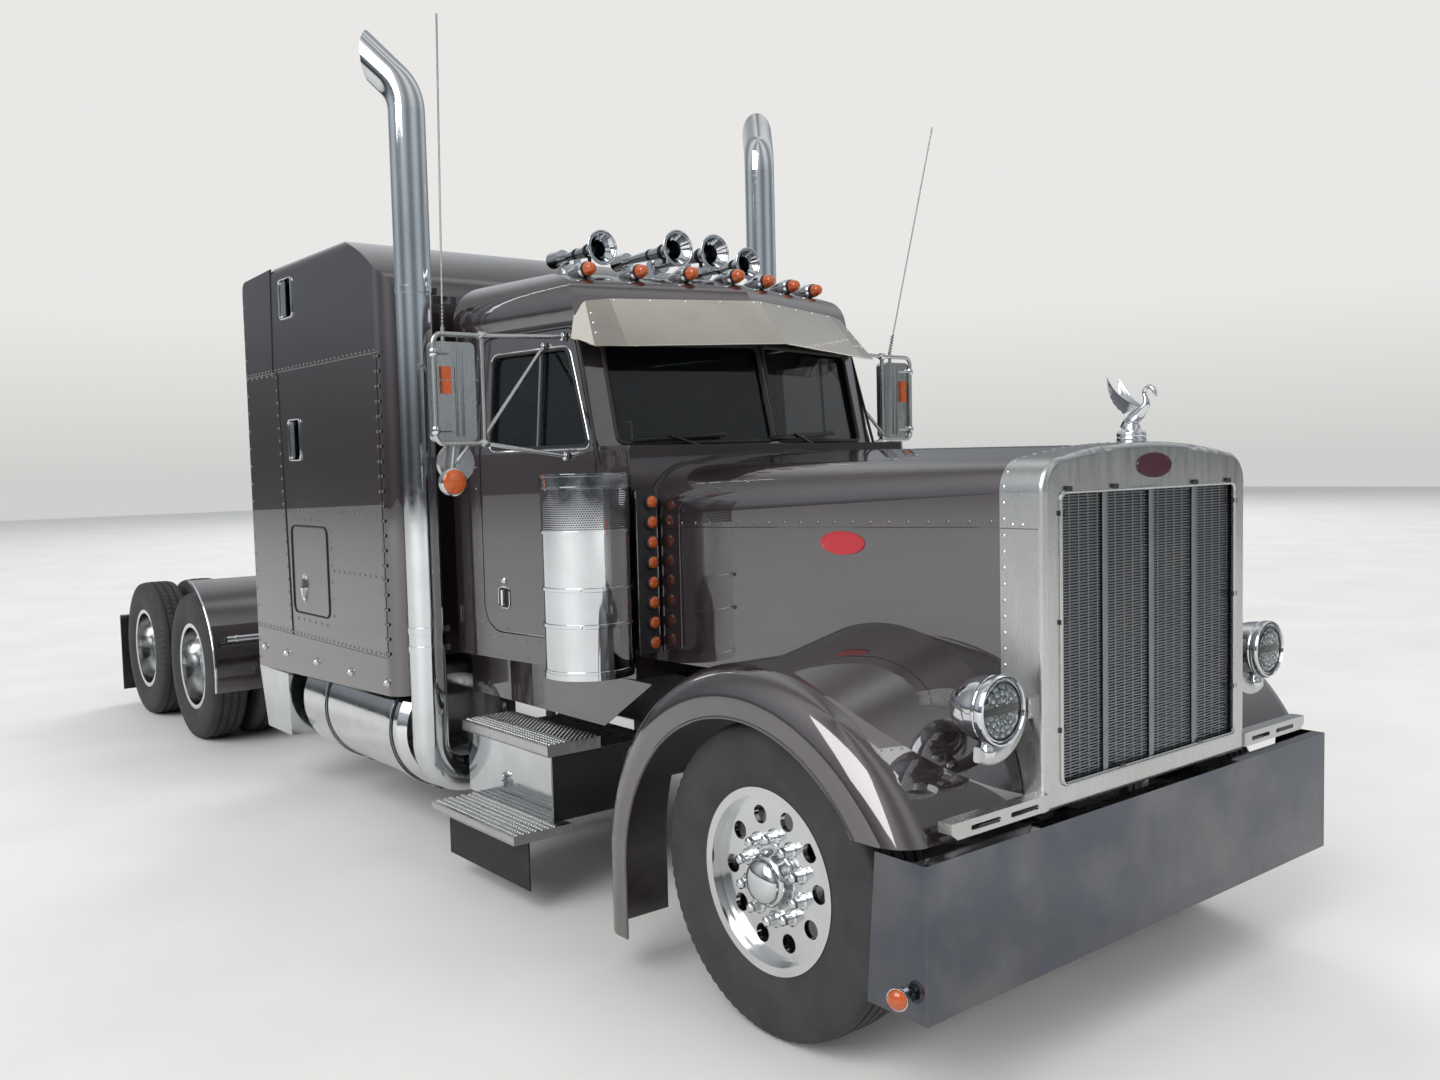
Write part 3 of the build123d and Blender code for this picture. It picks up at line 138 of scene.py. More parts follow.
def tube(path, radius, steps=12, flat=1.0):
    """A closed bar along the path:
    circles of the radius at right angles to the local tangent, with both ends shut."""
    path = np.asarray(path, float)
    tangent = unit(np.gradient(path, axis=0))
    reference = axes_from(tangent.mean(0))[0][0]
    side = unit(np.cross(tangent, np.cross(reference, tangent)))
    up = np.cross(tangent, side)
    a = np.linspace(0, 2 * np.pi, steps, endpoint=False)
    radius = np.broadcast_to(np.asarray(radius, float), len(path))
    ring = side[:, None] * np.cos(a)[:, None] + flat * up[:, None] * np.sin(a)[:, None]
    points = path[:, None] + radius[:, None, None] * ring
    ends = np.repeat(path[[0, -1]][:, None], steps, 1)
    return grid(np.concatenate([ends[:1], points, ends[1:]]), close_v=True)


def arc_path(corners, bend, steps=8):
    """Straight runs with each corner replaced by a curve: between two points at `bend` from it,
    (1-t)^2 a + 2t(1-t) c + t^2 b."""
    corners = [np.asarray(c, float) for c in corners]
    t = np.linspace(0, 1, steps)[:, None]
    out = [corners[0][None]]
    for before, c, after in zip(corners, corners[1:], corners[2:]):
        a, b = c + bend * unit(before - c), c + bend * unit(after - c)
        out.append((1 - t) ** 2 * a + 2 * t * (1 - t) * c + t**2 * b)
    return np.concatenate(out + [corners[-1][None]])


CORNERS = np.array([[x, y, z] for x in (-1, 1) for y in (-1, 1) for z in (-1, 1)], float) / 2
SIDES_OF_BOX = np.array([[0, 1, 3, 2], [4, 6, 7, 5], [0, 4, 5, 1],
                         [2, 3, 7, 6], [0, 2, 6, 4], [1, 5, 7, 3]])


def boxes(centres, sizes, axes=None):
    """Many boxes at once: corner = centre + (unit corner * size) turned by the rows of axes."""
    centres, sizes = np.atleast_2d(centres).astype(float), np.atleast_2d(sizes).astype(float)
    count = max(len(centres), len(sizes))
    local = CORNERS[None] * np.broadcast_to(sizes, (count, 3))[:, None]
    turn = np.broadcast_to(np.eye(3) if axes is None else axes, (count, 3, 3))
    points = np.einsum("nkj,nji->nki", local, turn) + np.broadcast_to(centres, (count, 3))[:, None]
    faces = SIDES_OF_BOX[None] + 8 * np.arange(count)[:, None, None]
    return points.reshape(-1, 3), faces.reshape(-1, 4)


def copies(shape, places, directions):
    """The shape repeated: each copy's z axis points along its direction and its origin stands at its
    place."""
    points, faces = shape
    places = np.atleast_2d(places).astype(float)
    turn = axes_from(np.broadcast_to(np.atleast_2d(directions), places.shape))
    moved = np.einsum("kj,nji->nki", points, turn) + places[:, None]
    shifted = faces[None] + len(points) * np.arange(len(places))[:, None, None]
    return moved.reshape(-1, 3), shifted.reshape(-1, 4)


def line(start, end, pitch):
    """Evenly spaced points from start to end, about `pitch` apart."""
    start, end = np.asarray(start, float), np.asarray(end, float)
    count = max(2, int(round(np.linalg.norm(end - start) / pitch)) + 1)
    return start + np.linspace(0, 1, count)[:, None] * (end - start)


def circle(centre, direction, radius, count, turn=0.0):
    """Points evenly spaced round a circle about the direction."""
    x, y, _ = axes_from(direction)[0]
    a = turn + np.linspace(0, 2 * np.pi, count, endpoint=False)[:, None]
    return np.asarray(centre) + radius * (x * np.cos(a) + y * np.sin(a))


def mirrored(shape):
    """The same shape on the truck's other side, with its faces turned back outwards."""
    points, faces = shape
    return points * [1, -1, 1], faces[:, ::-1]


RIVET = lathe([(0, -0.002), (0.0065, -0.002), (0.0062, 0.001), (0.0042, 0.0028), (0, 0.0034)], steps=10)


# %% [markdown]
# The camera repeats the photograph's: its lens and place come from a perspective fit to the wheels,
# the bumper and the tandem. It stands low at the truck's right front corner with a wide lens.

# %% Camera
SENSOR_MM = 36.0
LENS_MM = 30.55
EYE = (7.0658, -3.8321, 1.9877)
RIGHT = (0.62972, 0.77646, -0.02384)
UP = (-0.03432, 0.05847, 0.99770)
BACK = (0.77606, -0.62745, 0.06347)

camera_data = bpy.data.cameras.new("camera")
camera_data.lens = LENS_MM
camera_data.sensor_width = SENSOR_MM
camera = bpy.data.objects.new("camera", camera_data)
bpy.context.scene.collection.objects.link(camera)
pose = np.eye(4)
pose[:3] = np.stack([RIGHT, UP, BACK, EYE], 1)
camera.matrix_world = Matrix(pose.tolist())
bpy.context.scene.camera = camera

# %% [markdown]
# Colours are written as sRGB hex values, as they look on screen, and one function turns them into the
# linear numbers that a shader works with. One more small function adds any node with its settings.

# %% Colour and node helpers


def hex_colour(code):
    """Linear RGBA from an sRGB hex code: ((c + 0.055) / 1.055) ^ 2.4, and c / 12.92 near black."""
    c = np.array([int(code[i:i + 2], 16) / 255 for i in (1, 3, 5)])
    return (*np.where(c <= 0.04045, c / 12.92, ((c + 0.055) / 1.055) ** 2.4), 1.0)


def add(tree, kind, **settings):
    """One node: a setting that names an input is a value or a link from another node's output,
    and the rest are attributes."""
    node = tree.nodes.new("ShaderNode" + kind)
    for name, value in settings.items():
        key = name.replace("_", " ")
        socket = next((s for s in node.inputs if s.enabled and s.name.lower() == key.lower()), None)
        if name.startswith("in") and name[2:].isdigit():
            socket = node.inputs[int(name[2:])]
        if socket is None:
            setattr(node, name, value)
        elif isinstance(value, bpy.types.NodeSocket):
            tree.links.new(value, socket)
        else:
            socket.default_value = value
    return node


def ramp(tree, fac, stops):
    """A colour ramp: stops are (position, grey value or hex colour)."""
    node = add(tree, "ValToRGB", fac=fac)
    elements = node.color_ramp.elements
    for _ in range(len(stops) - 2):
        elements.new(0.5)
    for element, (position, value) in zip(elements, stops):
        element.position = position
        element.color = hex_colour(value) if isinstance(value, str) else (value, value, value, 1.0)
    return node.outputs["Color"]


def blend_colour(tree, fac, a, b):
    """Mix of two colours, each a hex code or a link: a where fac is 0 and b where it is 1."""
    node = add(tree, "Mix", data_type="RGBA")
    for socket, value in ((node.inputs[0], fac), (node.inputs[6], a), (node.inputs[7], b)):
        if isinstance(value, bpy.types.NodeSocket):
            tree.links.new(value, socket)
        else:
            socket.default_value = hex_colour(value) if isinstance(value, str) else value
    return node.outputs[2]


def start_material(name):
    """A new material: its node tree,
    its Principled shader and the Object coordinates that every pattern reads."""
    material = bpy.data.materials.new(name)
    material.use_nodes = True
    tree = material.node_tree
    return material, tree, tree.nodes["Principled BSDF"], add(tree, "TexCoord").outputs["Object"]


def connect(tree, shader, **links):
    """Sets the shader's inputs: links are joined, numbers and colours are put on the socket."""
    for name, value in links.items():
        socket = shader.inputs[name.replace("_", " ")]
        if isinstance(value, bpy.types.NodeSocket):
            tree.links.new(value, socket)
        else:
            socket.default_value = hex_colour(value) if isinstance(value, str) else value


def noise(tree, place, scale, detail=4.0, roughness=0.55, stretch=None):
    """Fractal noise at `scale` cycles a metre, with the coordinates stretched along X, Y, Z where asked."""
    if stretch:
        place = add(tree, "Mapping", vector=place, scale=stretch).outputs["Vector"]
    return add(tree, "TexNoise", vector=place, scale=scale, detail=detail,
               roughness=roughness).outputs["Fac"]


def bump(tree, height, strength, distance, normal=None):
    """A bump from a height: distance is its real depth in metres."""
    node = add(tree, "Bump", height=height, strength=strength, distance=distance)
    if normal is not None:
        tree.links.new(normal, node.inputs["Normal"])
    return node.outputs["Normal"]


def height_mask(tree, place, low, high):
    """1 below the height `low`, falling to 0 at `high`: where road dust settles."""
    z = add(tree, "SeparateXYZ", vector=place).outputs["Z"]
    return add(tree, "MapRange", value=z, from_min=low, from_max=high, to_min=1.0,
               to_max=0.0).outputs["Result"]


def dusted(tree, place, colour, roughness, dust_hex, low, high, amount):
    """Colour and roughness with road dust: more of it low down and in blotches about 10 cm across."""
    blotch = ramp(tree, noise(tree, place, 9.0, 6.0), [(0.35, 0.15), (0.75, 1.0)])
    mask = add(tree, "Math", operation="MULTIPLY", in0=blotch,
               in1=height_mask(tree, place, low, high)).outputs[0]
    mask = add(tree, "Math", operation="MULTIPLY", in0=mask, in1=amount).outputs[0]
    mixed = blend_colour(tree, mask, colour, dust_hex)
    rough = add(tree, "Mix", data_type="FLOAT", in0=mask, in2=roughness, in3=0.75).outputs[0]
    return mixed, rough


# %% [markdown]
# The floor is a plain pale sheet, and the camera sees a plain pale sky. What metal mirrors of the world
# is darker towards the ground, and it swells and fades five times round the horizon, as soft panels in
# a studio do: without that, a chrome pipe looks like grey paint. Three big soft lamps do the lighting.
# The key lamp is very wide, because polished paint mirrors it; the other two stay out of reflections.

# %% Floor, world and lamps
FLOOR_HALF = 60.0
PALE = "#e9e8e6"
PANEL_COUNT, PANEL_LOW, PANEL_HIGH = 5.0, 0.40, 0.96


def build_stage():
    """A square floor at z = 0, and a world whose colour follows the direction's Z and whose strength
    is low + (high - low) (1 + sin(5 azimuth)) / 2; the camera sees only a plain pale sky."""
    mesh = bpy.data.meshes.new("floor")
    corner = FLOOR_HALF * np.array([[-1, -1, 0], [1, -1, 0], [1, 1, 0], [-1, 1, 0]])
    mesh.from_pydata(corner.tolist(), [], [[0, 1, 2, 3]])
    floor = bpy.data.objects.new("floor", mesh)
    bpy.context.scene.collection.objects.link(floor)
    material, tree, shader, place = start_material("pale_floor")
    tint = ramp(tree, noise(tree, place, 0.8, 5.0), [(0.3, "#d9d8d5"), (0.7, "#e2e1de")])
    connect(tree, shader, Base_Color=tint, Roughness=0.6)
    mesh.materials.append(material)

    world = bpy.data.worlds.new("studio")
    bpy.context.scene.world = world
    world.use_nodes = True
    tree = world.node_tree
    background = tree.nodes["Background"]
    direction = add(tree, "TexCoord").outputs["Generated"]
    parts = add(tree, "SeparateXYZ", vector=direction).outputs
    z = parts["Z"]
    fade = ramp(tree, add(tree, "MapRange", value=z, from_min=0.0, from_max=0.8).outputs["Result"],
                [(0.0, "#606366"), (0.05, "#7b8084"), (0.15, "#bcc5cd"),
                 (0.50, "#dfe3e7"), (1.0, "#f6f8fa")])
    path = add(tree, "LightPath")
    shown = add(tree, "Math", operation="MAXIMUM", in0=path.outputs["Is Camera Ray"],
                in1=path.outputs["Is Transmission Ray"]).outputs[0]
    sky = ramp(tree, z, [(0.0, "#cfcfcd"), (0.12, PALE)])
    colour = blend_colour(tree, shown, fade, sky)
    tree.links.new(colour, background.inputs["Color"])
    turn = add(tree, "Math", operation="ARCTAN2", in0=parts["Y"], in1=parts["X"]).outputs[0]
    wave = add(tree, "Math", operation="MULTIPLY", in0=turn, in1=PANEL_COUNT).outputs[0]
    wave = add(tree, "Math", operation="SINE", in0=wave).outputs[0]
    panels = add(tree, "MapRange", value=wave, from_min=-1.0, from_max=1.0,
                 to_min=PANEL_LOW, to_max=PANEL_HIGH)
    strength = add(tree, "Mix", data_type="FLOAT", in0=shown,
                   in2=panels.outputs["Result"], in3=1.0).outputs[0]
    tree.links.new(strength, background.inputs["Strength"])


def lamp(name, place, target, size, watts, mirrored=True):
    """A square area lamp at `place` that faces `target`;
    one that isn't mirrored lights things but shows in no metal."""
    data = bpy.data.lights.new(name, "AREA")
    data.energy, data.size = watts, size
    obj = bpy.data.objects.new(name, data)
    obj.visible_glossy = mirrored
    bpy.context.scene.collection.objects.link(obj)
    x, y, z = axes_from(np.subtract(place, target))[0]
    turn = np.eye(4)
    turn[:3] = np.stack([x, y, z, place], 1)
    obj.matrix_world = Matrix(turn.tolist())


build_stage()
lamp("key", (9.0, -33.0, 27.0), (0.5, 0.0, 1.2), 30.0, 13500)
lamp("front", (39.0, 6.0, 18.0), (2.0, 0.0, 1.2), 18.0, 6500, mirrored=False)
lamp("back", (-27.0, 27.0, 24.0), (0.0, 0.0, 1.5), 21.0, 8000, mirrored=False)

# %% [markdown]
# Materials, starting with the paint. A metallic truck paint is a base coat with aluminium flakes under
# a thick clear coat. The flakes give a grainy sheen, and the clear coat gives the sharp mirror image,
# with the faint waviness that painters call orange peel. Dust lies on its lower parts.

# %% Painted finishes
DUST = "#8f867a"


def pewter_paint():
    """Base coat with metal flakes under clear lacquer, as on the hood, cab and sleeper."""
    material, tree, shader, place = start_material("pewter_paint")
    broad = noise(tree, place, 0.9, 3.0)
    tint = ramp(tree, broad, [(0.35, "#30272a"), (0.7, "#3a2f32")])
    flake = noise(tree, place, 900.0, 1.0)
    tint = blend_colour(tree, ramp(tree, flake, [(0.55, 0.0), (0.75, 0.3)]), tint, "#685a5e")
    colour, rough = dusted(tree, place, tint, 0.34, DUST, 0.1, 1.0, 0.22)
    peel = bump(tree, noise(tree, place, 60.0, 2.0), 0.3, 0.00003)
    connect(tree, shader, Base_Color=colour, Roughness=rough, Metallic=0.6, Coat_Weight=1.0,
            Coat_Roughness=0.015, Coat_IOR=2.1, Coat_Normal=peel)
    return material


def chassis_paint(name="chassis_paint", code="#1d1e20"):
    """Thick black chassis enamel, dulled by road dirt, with small chips down to primer."""
    material, tree, shader, place = start_material(name)
    chips = ramp(tree, noise(tree, place, 45.0, 8.0, 0.7), [(0.70, 0.0), (0.74, 1.0)])
    tint = blend_colour(tree, chips, code, "#4c3a30")
    colour, rough = dusted(tree, place, tint, 0.42, DUST, 0.2, 1.3, 0.6)
    texture = bump(tree, noise(tree, place, 160.0, 5.0), 0.3, 0.0003)
    connect(tree, shader, Base_Color=colour, Roughness=rough, Normal=texture)
    return material


PAINT = pewter_paint()
CHASSIS = chassis_paint()

# %% [markdown]
# The bright metals differ in polish. Chromed and buffed stainless steel is nearly a mirror with faint
# wiping scratches. Cast or forged aluminium is a little whiter. The radiator shell and the steps are
# satin aluminium, whose brushing spreads the reflection along one direction.

# %% Bright metals


def bright_metal(name, code, rough_low, rough_high, grain=(1, 1, 1), depth=0.00004, dust=0.25):
    """Bare or plated metal: roughness wanders between two values in streaks that follow `grain`."""
    material, tree, shader, place = start_material(name)
    streak = noise(tree, place, 26.0, 6.0, 0.65, grain)
    rough = add(tree, "MapRange", value=streak, from_min=0.3, from_max=0.7,
                to_min=rough_low, to_max=rough_high)
    smear = noise(tree, place, 3.0, 4.0)
    tint = blend_colour(tree, ramp(tree, smear, [(0.45, 0.0), (0.8, 0.35)]), code, "#a09d98")
    colour, rough = dusted(tree, place, tint, rough.outputs["Result"], DUST, 0.0, 1.0, dust)
    wave = bump(tree, noise(tree, place, 90.0, 5.0, 0.6, grain), 0.4, depth)
    connect(tree, shader, Base_Color=colour, Metallic=1.0, Roughness=rough, Normal=wave)
    return material


CHROME = bright_metal("buffed_stainless", "#d3d6d9", 0.03, 0.09, depth=0.00002)
POLISHED = bright_metal("polished_aluminium", "#d9dbdc", 0.05, 0.13, depth=0.00002, dust=0.3)
SATIN = bright_metal("satin_aluminium", "#c2c3c2", 0.22, 0.34, (1, 1, 0.12), 0.00006)
# The bumper's stainless gets a dark grey-blue base colour: a painted dark reflection of the ground it
# mirrors.
BUMPER_PAINTED_DARK_REFLECTION = bright_metal("bumper_stainless_painted_dark_reflection", "#595d66", 0.05, 0.12, (1, 0.2, 0.2), 0.00002, 0.3)
# The visor's stainless has a warm base colour: a painted reflection of the warm-toned roof it mirrors.
VISOR_PAINTED_WARM_REFLECTION = bright_metal("visor_stainless_painted_warm_reflection", "#d8d2c8", 0.04, 0.09, depth=0.00002)
MESH_STEEL = bright_metal("tarnished_mesh", "#85898e", 0.3, 0.5, depth=0.0001)
# Dark metal for the greased coupling plate, and for the horn throats, where its darkness is painted shade
# inside the deep bell.
DARK_METAL_AND_THROAT_SHADE = bright_metal("sooted_metal", "#4a4c4f", 0.25, 0.4)
LAMP_SILVER = bright_metal("lamp_reflector", "#777c7f", 0.22, 0.34)
MIRROR_GLASS = bright_metal("silvered_glass", "#c9d0d2", 0.0, 0.02, depth=0.0, dust=0.1)

# %% [markdown]
# Rubber, glass and plastic. A tyre's wall is grey with a bloom of dust and fine moulded rings; its
# tread is darker. Window glass is slightly grey-green. Lamp lenses are coloured acrylic.

# %% Rubber, glass and lenses


def tyre_rubber():
    """Vulcanised rubber: rough, nearly black, with brown-grey dust rubbed into it and a fine grain."""
    material, tree, shader, place = start_material("tyre_rubber")
    blotch = noise(tree, place, 7.0, 7.0, 0.6)
    tint = ramp(tree, blotch, [(0.3, "#29292b"), (0.8, "#3b3a3b")])
    grain = bump(tree, noise(tree, place, 260.0, 5.0), 0.5, 0.0004)
    connect(tree, shader, Base_Color=tint, Roughness=0.72, Normal=grain)
    return material


def plain_plastic(name, code, roughness, grain_depth=0.0001):
    """Moulded plastic or rubber of one colour, with a fine moulded grain and faint dust."""
    material, tree, shader, place = start_material(name)
    tint = blend_colour(tree, ramp(tree, noise(tree, place, 6.0, 5.0),
                                   [(0.45, 0.0), (0.95, 0.1)]), code, DUST)
    grain = bump(tree, noise(tree, place, 300.0, 3.0), 0.4, grain_depth)
    connect(tree, shader, Base_Color=tint, Roughness=roughness, Normal=grain)
    return material


def clear_glass(name, code, roughness=0.0):
    """Soda-lime sheet glass, IOR 1.5, with a film of dust that shows only as a faint haze."""
    material, tree, shader, place = start_material(name)
    haze = add(tree, "MapRange", value=noise(tree, place, 6.0, 6.0), from_min=0.45, from_max=0.8,
               to_min=roughness, to_max=roughness + 0.05)
    connect(tree, shader, Base_Color=code, Roughness=haze.outputs["Result"],
            Transmission_Weight=1.0, IOR=1.5)
    return material


def window_glass():
    """Tinted laminated glass: the Fresnel mirror of its surface over a grey-green view through,
    at no real thickness."""
    material, tree, shader, place = start_material("window_glass")
    haze = ramp(tree, noise(tree, place, 5.0, 6.0), [(0.5, 0.0), (0.9, 0.04)])
    connect(tree, shader, Base_Color="#0c1114", Roughness=haze, IOR=1.5, Alpha=0.55)
    return material


def lens_acrylic(name, code):
    """Coloured acrylic lamp lens with moulded ribs about 6 mm apart and some light passing through it."""
    material, tree, shader, place = start_material(name)
    ribs = add(tree, "TexWave", vector=place, scale=26.0, bands_direction="Z").outputs["Fac"]
    tint = blend_colour(tree, ramp(tree, noise(tree, place, 30.0, 3.0),
                                   [(0.4, 0.0), (0.9, 0.4)]), code, "#7c2f10")
    connect(tree, shader, Base_Color=tint, Roughness=0.14, Transmission_Weight=0.25, IOR=1.49,
            Coat_Weight=0.6, Normal=bump(tree, ribs, 0.4, 0.0008))
    return material


RUBBER = tyre_rubber()
BLACK_RUBBER = plain_plastic("black_rubber", "#141415", 0.6)
DARK_TRIM = plain_plastic("dark_trim", "#232225", 0.5)
CABIN_TRIM = plain_plastic("cabin_trim", "#4a4441", 0.65, 0.0003)
GLASS = window_glass()
GLOSS_BLACK = plain_plastic("gloss_black", "#101113", 0.22, 0.00003)
SEAT_CLOTH = plain_plastic("seat_cloth", "#56504c", 0.85, 0.0006)
MAROON = plain_plastic("maroon_enamel", "#3c1626", 0.2, 0.00001)
RED_ENAMEL = plain_plastic("red_enamel", "#b02a33", 0.2, 0.00001)
AMBER = lens_acrylic("amber_acrylic", "#c65a22")
RED_LENS = lens_acrylic("red_acrylic", "#a81712")
CLEAR_LENS = clear_glass("lamp_glass", "#e8eef0", 0.02)
ENGINE_IRON = plain_plastic("engine_enamel", "#5f574c", 0.6, 0.0006)

# %% [markdown]
# Every CAD piece that keeps its own shape only needs its finish. The meshes are loose triangles, and
# they keep the shading they came with.

# %% Finishes on the CAD pieces
FINISH_ROWS = (
    (PAINT, "hood fenders cab_shell sleeper_shell side_extenders body_skirts door_right door_left "
            "luggage_door_right luggage_door_left rear_fenders"),
    (BUMPER_PAINTED_DARK_REFLECTION, "front_bumper"),
    (SATIN, "grille_shell mirror_right mirror_left step_boxes"),
    (MESH_STEEL, "grille"),
    (CHROME, "headlamps hood_ornament roof_lamps air_horns air_cleaners exhaust_stacks "
             "tank_fairings"),
    (VISOR_PAINTED_WARM_REFLECTION, "sun_visor"),
    (DARK_TRIM, "cowl_lamps radiator"),
    (BLACK_RUBBER, "step_flaps cab_boot"),
    (POLISHED, "fuel_tanks"),
    (GLASS, "windshield window_right window_left sleeper_windows"),
    (CABIN_TRIM, "seats cab_interior"),
    (ENGINE_IRON, "engine_block"),
    (DARK_METAL_AND_THROAT_SHADE, "fifth_wheel_plate"),
)
NODE_FINISH = {name: finish for finish, names in FINISH_ROWS for name in names.split()}
for name, obj in nodes.items():
    finish = NODE_FINISH.get(name, CHASSIS)
    if "tyre" in name:
        finish = RUBBER
    if "rim" in name:
        finish = POLISHED
    obj.data.materials.clear()
    obj.data.materials.append(finish)

# %% [markdown]
# A tyre is a lathe whose profile runs from bead to bead: a bulged wall, a round shoulder and a nearly
# flat tread. The tread pattern lowers the radius where a groove passes. The steered tyres have straight
# ribs with small cuts at the shoulder; the drive tyres have three straight grooves,
# cross cuts and toothed edges.

# %% Tyres
TYRE_R, BEAD_R, TYRE_HALF_W, TREAD_HALF_W, GROOVE_DEPTH = 0.550, 0.311, 0.140, 0.112, 0.012
FRONT_AXLE_X, DRIVE_AXLES_X = 3.950, (-2.550, -3.870)
FRONT_WHEEL_Y, DUAL_OUTER_Y, DUAL_INNER_Y, WHEEL_Z = 1.035, 1.080, 0.745, 0.550


def pulse(phase, width, edge=0.06):
    """1 inside a band of the given width round phase 0, falling smoothly to 0 over `edge`;
    phase repeats every 1."""
    distance = np.abs((phase + 0.5) % 1.0 - 0.5)
    return np.clip((width / 2 + edge - distance) / edge, 0, 1)


def tyre(centre, rib):
    """Tyre about Y: wall y = w sin, r = bead to shoulder on an ellipse,
    tread r = R - crown - groove(angle, y)."""
    groove_y = np.array([-0.070, -0.024, 0.024, 0.070] if rib else [-0.056, 0.0, 0.056])
    half = 0.0055 if rib else 0.0075
    across = np.sort(np.concatenate([np.linspace(-1, 1, 13) * TREAD_HALF_W,
                                     *(groove_y + d for d in (-half - 0.002, -half, half, half + 0.002))]))
    depth = GROOVE_DEPTH * np.min(np.clip((np.abs(across[:, None] - groove_y) - half) / 0.002, 0, 1), 1)
    t = np.linspace(0, 1, 13)[1:]
    turn = np.pi / 2 * t
    shoulder_r, wall_y = TYRE_R - 0.012, TYRE_HALF_W
    arc_y = TREAD_HALF_W + (wall_y - TREAD_HALF_W) * np.sin(turn)
    arc_r = shoulder_r - 0.125 * (1 - np.cos(turn)) - 0.003 * t
    low = np.linspace(0, 1, 10 if rib else 7)[1:]
    low_y = wall_y - (wall_y - 0.106) * low**1.7
    low_r = arc_r[-1] + (BEAD_R + 0.004 - arc_r[-1]) * low
    rings = 0.0016 * (pulse(low * 3.2, 0.18) - 0.3)
    side_y, side_r = np.concatenate([arc_y, low_y + rings]), np.concatenate([arc_r, low_r])
    y = np.concatenate([-side_y[::-1], across, side_y, [0.100, -0.100]])
    crowned = TYRE_R - 0.010 * (across / TREAD_HALF_W) ** 4
    r = np.concatenate([side_r[::-1], crowned, side_r, [BEAD_R - 0.003] * 2])
    on_tread = np.concatenate([np.zeros(len(side_y)), np.ones(len(across)), np.zeros(len(side_y) + 2)])
    floor = np.concatenate([np.zeros(len(side_y)), GROOVE_DEPTH - depth, np.zeros(len(side_y) + 2)])
    shoulder = (np.abs(y) > 0.094) & (r > TYRE_R - 0.05)
    steps = 240 if rib else 288
    a = np.linspace(0, 2 * np.pi, steps, endpoint=False)[:, None]
    if rib:
        cut = 0.005 * pulse(a / (2 * np.pi) * 80, 0.2, 0.15) * shoulder
        lowered = floor[None] + cut
    else:
        turns = a / (2 * np.pi)
        inner = on_tread * (np.abs(y) < 0.060)
        cross = 0.006 * pulse(turns * 72 + 0.25 * (y > 0), 0.25, 0.12) * inner
        teeth = 0.010 * pulse(turns * 72, 0.34, 0.12) * shoulder
        lowered = np.maximum(floor[None], cross + teeth)
    radius = r[None] - lowered
    cx, cy, cz = centre
    points = np.stack([cx + radius * np.cos(a), cy + y[None] + 0 * a, cz + radius * np.sin(a)], -1)
    return grid(points, close_u=True, close_v=True)


for side, sign in SIDES:
    piece(f"front_tread_{side}", [tyre((FRONT_AXLE_X, sign * FRONT_WHEEL_Y, WHEEL_Z), True)], RUBBER,
          f"front_wheel_{side}", [f"front_tyre_{side}"], sharp=30)
    for number, x in enumerate(DRIVE_AXLES_X, 1):
        pair = [tyre((x, sign * y, WHEEL_Z), False) for y in (DUAL_OUTER_Y, DUAL_INNER_Y)]
        piece(f"rear_tread_{number}_{side}", pair, RUBBER, f"rear_wheel_{number}_{side}",
              [f"rear_tyres_{number}_{side}"], sharp=30)
print("tyres made")

# %% [markdown]
# The wheels are forged aluminium discs from the CAD model. What dresses them is chromed: a tall cover
# on every wheel nut, a domed cap over each front hub and a ring of bolt heads on each rear hub. Each cover
# is a six-sided lathe on a round flange.

# %% Wheel nut covers and hub caps
NUT_CIRCLE_R, REAR_HUB_Y = 0.143, 0.9325
NUT_COVER = merge([
    lathe([(0, 0), (0.031, 0), (0.031, 0.004), (0.024, 0.010), (0, 0.010)], steps=20),
    lathe([(0, 0.008), (0.0205, 0.010), (0.0205, 0.040), (0.0175, 0.047), (0.010, 0.052),
           (0, 0.0535)], steps=24, sides=6),
])
HUB_BOLT = lathe([(0, 0), (0.011, 0), (0.011, 0.009), (0, 0.009)], steps=12, sides=6)


def hub_cap(centre, outward, radius):
    """Stepped chrome cap: a flat flange, a straight wall, then a dome h = h0 + 0.42 r cos."""
    t = np.linspace(0, np.pi / 2, 12)
    dome = np.stack([0.80 * radius * np.cos(t), 0.050 + 0.42 * radius * np.sin(t)], 1)
    rim = np.array([(0, 0), (1.06, 0), (1.06, 0.004), (0.96, 0.010), (0.92, 0.038), (0.84, 0.048)])
    rim = rim * [radius, 1]
    return lathe(np.concatenate([rim, dome]), centre, outward, steps=64)


for side, sign in SIDES:
    outward = np.array([0, sign, 0])
    face = sign * (FRONT_WHEEL_Y + 0.072)
    hub = (FRONT_AXLE_X, face, WHEEL_Z)
    nuts = copies(NUT_COVER, circle(hub, outward, NUT_CIRCLE_R, 10, np.pi / 10), outward)
    piece(f"front_hub_trim_{side}", [nuts, hub_cap(hub, outward, 0.100)], CHROME, f"front_wheel_{side}")
    for number, x in enumerate(DRIVE_AXLES_X, 1):
        hub = np.array([x, sign * REAR_HUB_Y, WHEEL_Z])
        nuts = copies(NUT_COVER, circle(hub, outward, NUT_CIRCLE_R, 10, np.pi / 10), outward)
        cap_ring = circle(hub + outward * 0.178, outward, 0.078, 8)
        bolts = copies(HUB_BOLT, cap_ring, outward)
        piece(f"rear_hub_trim_{number}_{side}", [nuts, bolts], CHROME,
              f"rear_wheel_{number}_{side}")
print("wheel trim made")

# %% [markdown]
# The hood and the radiator shell share one outline, seen from the front: straight sides, round shoulders
# and a low crown. Rivets, seams and the rubber seal all follow that outline, so it gets one function.

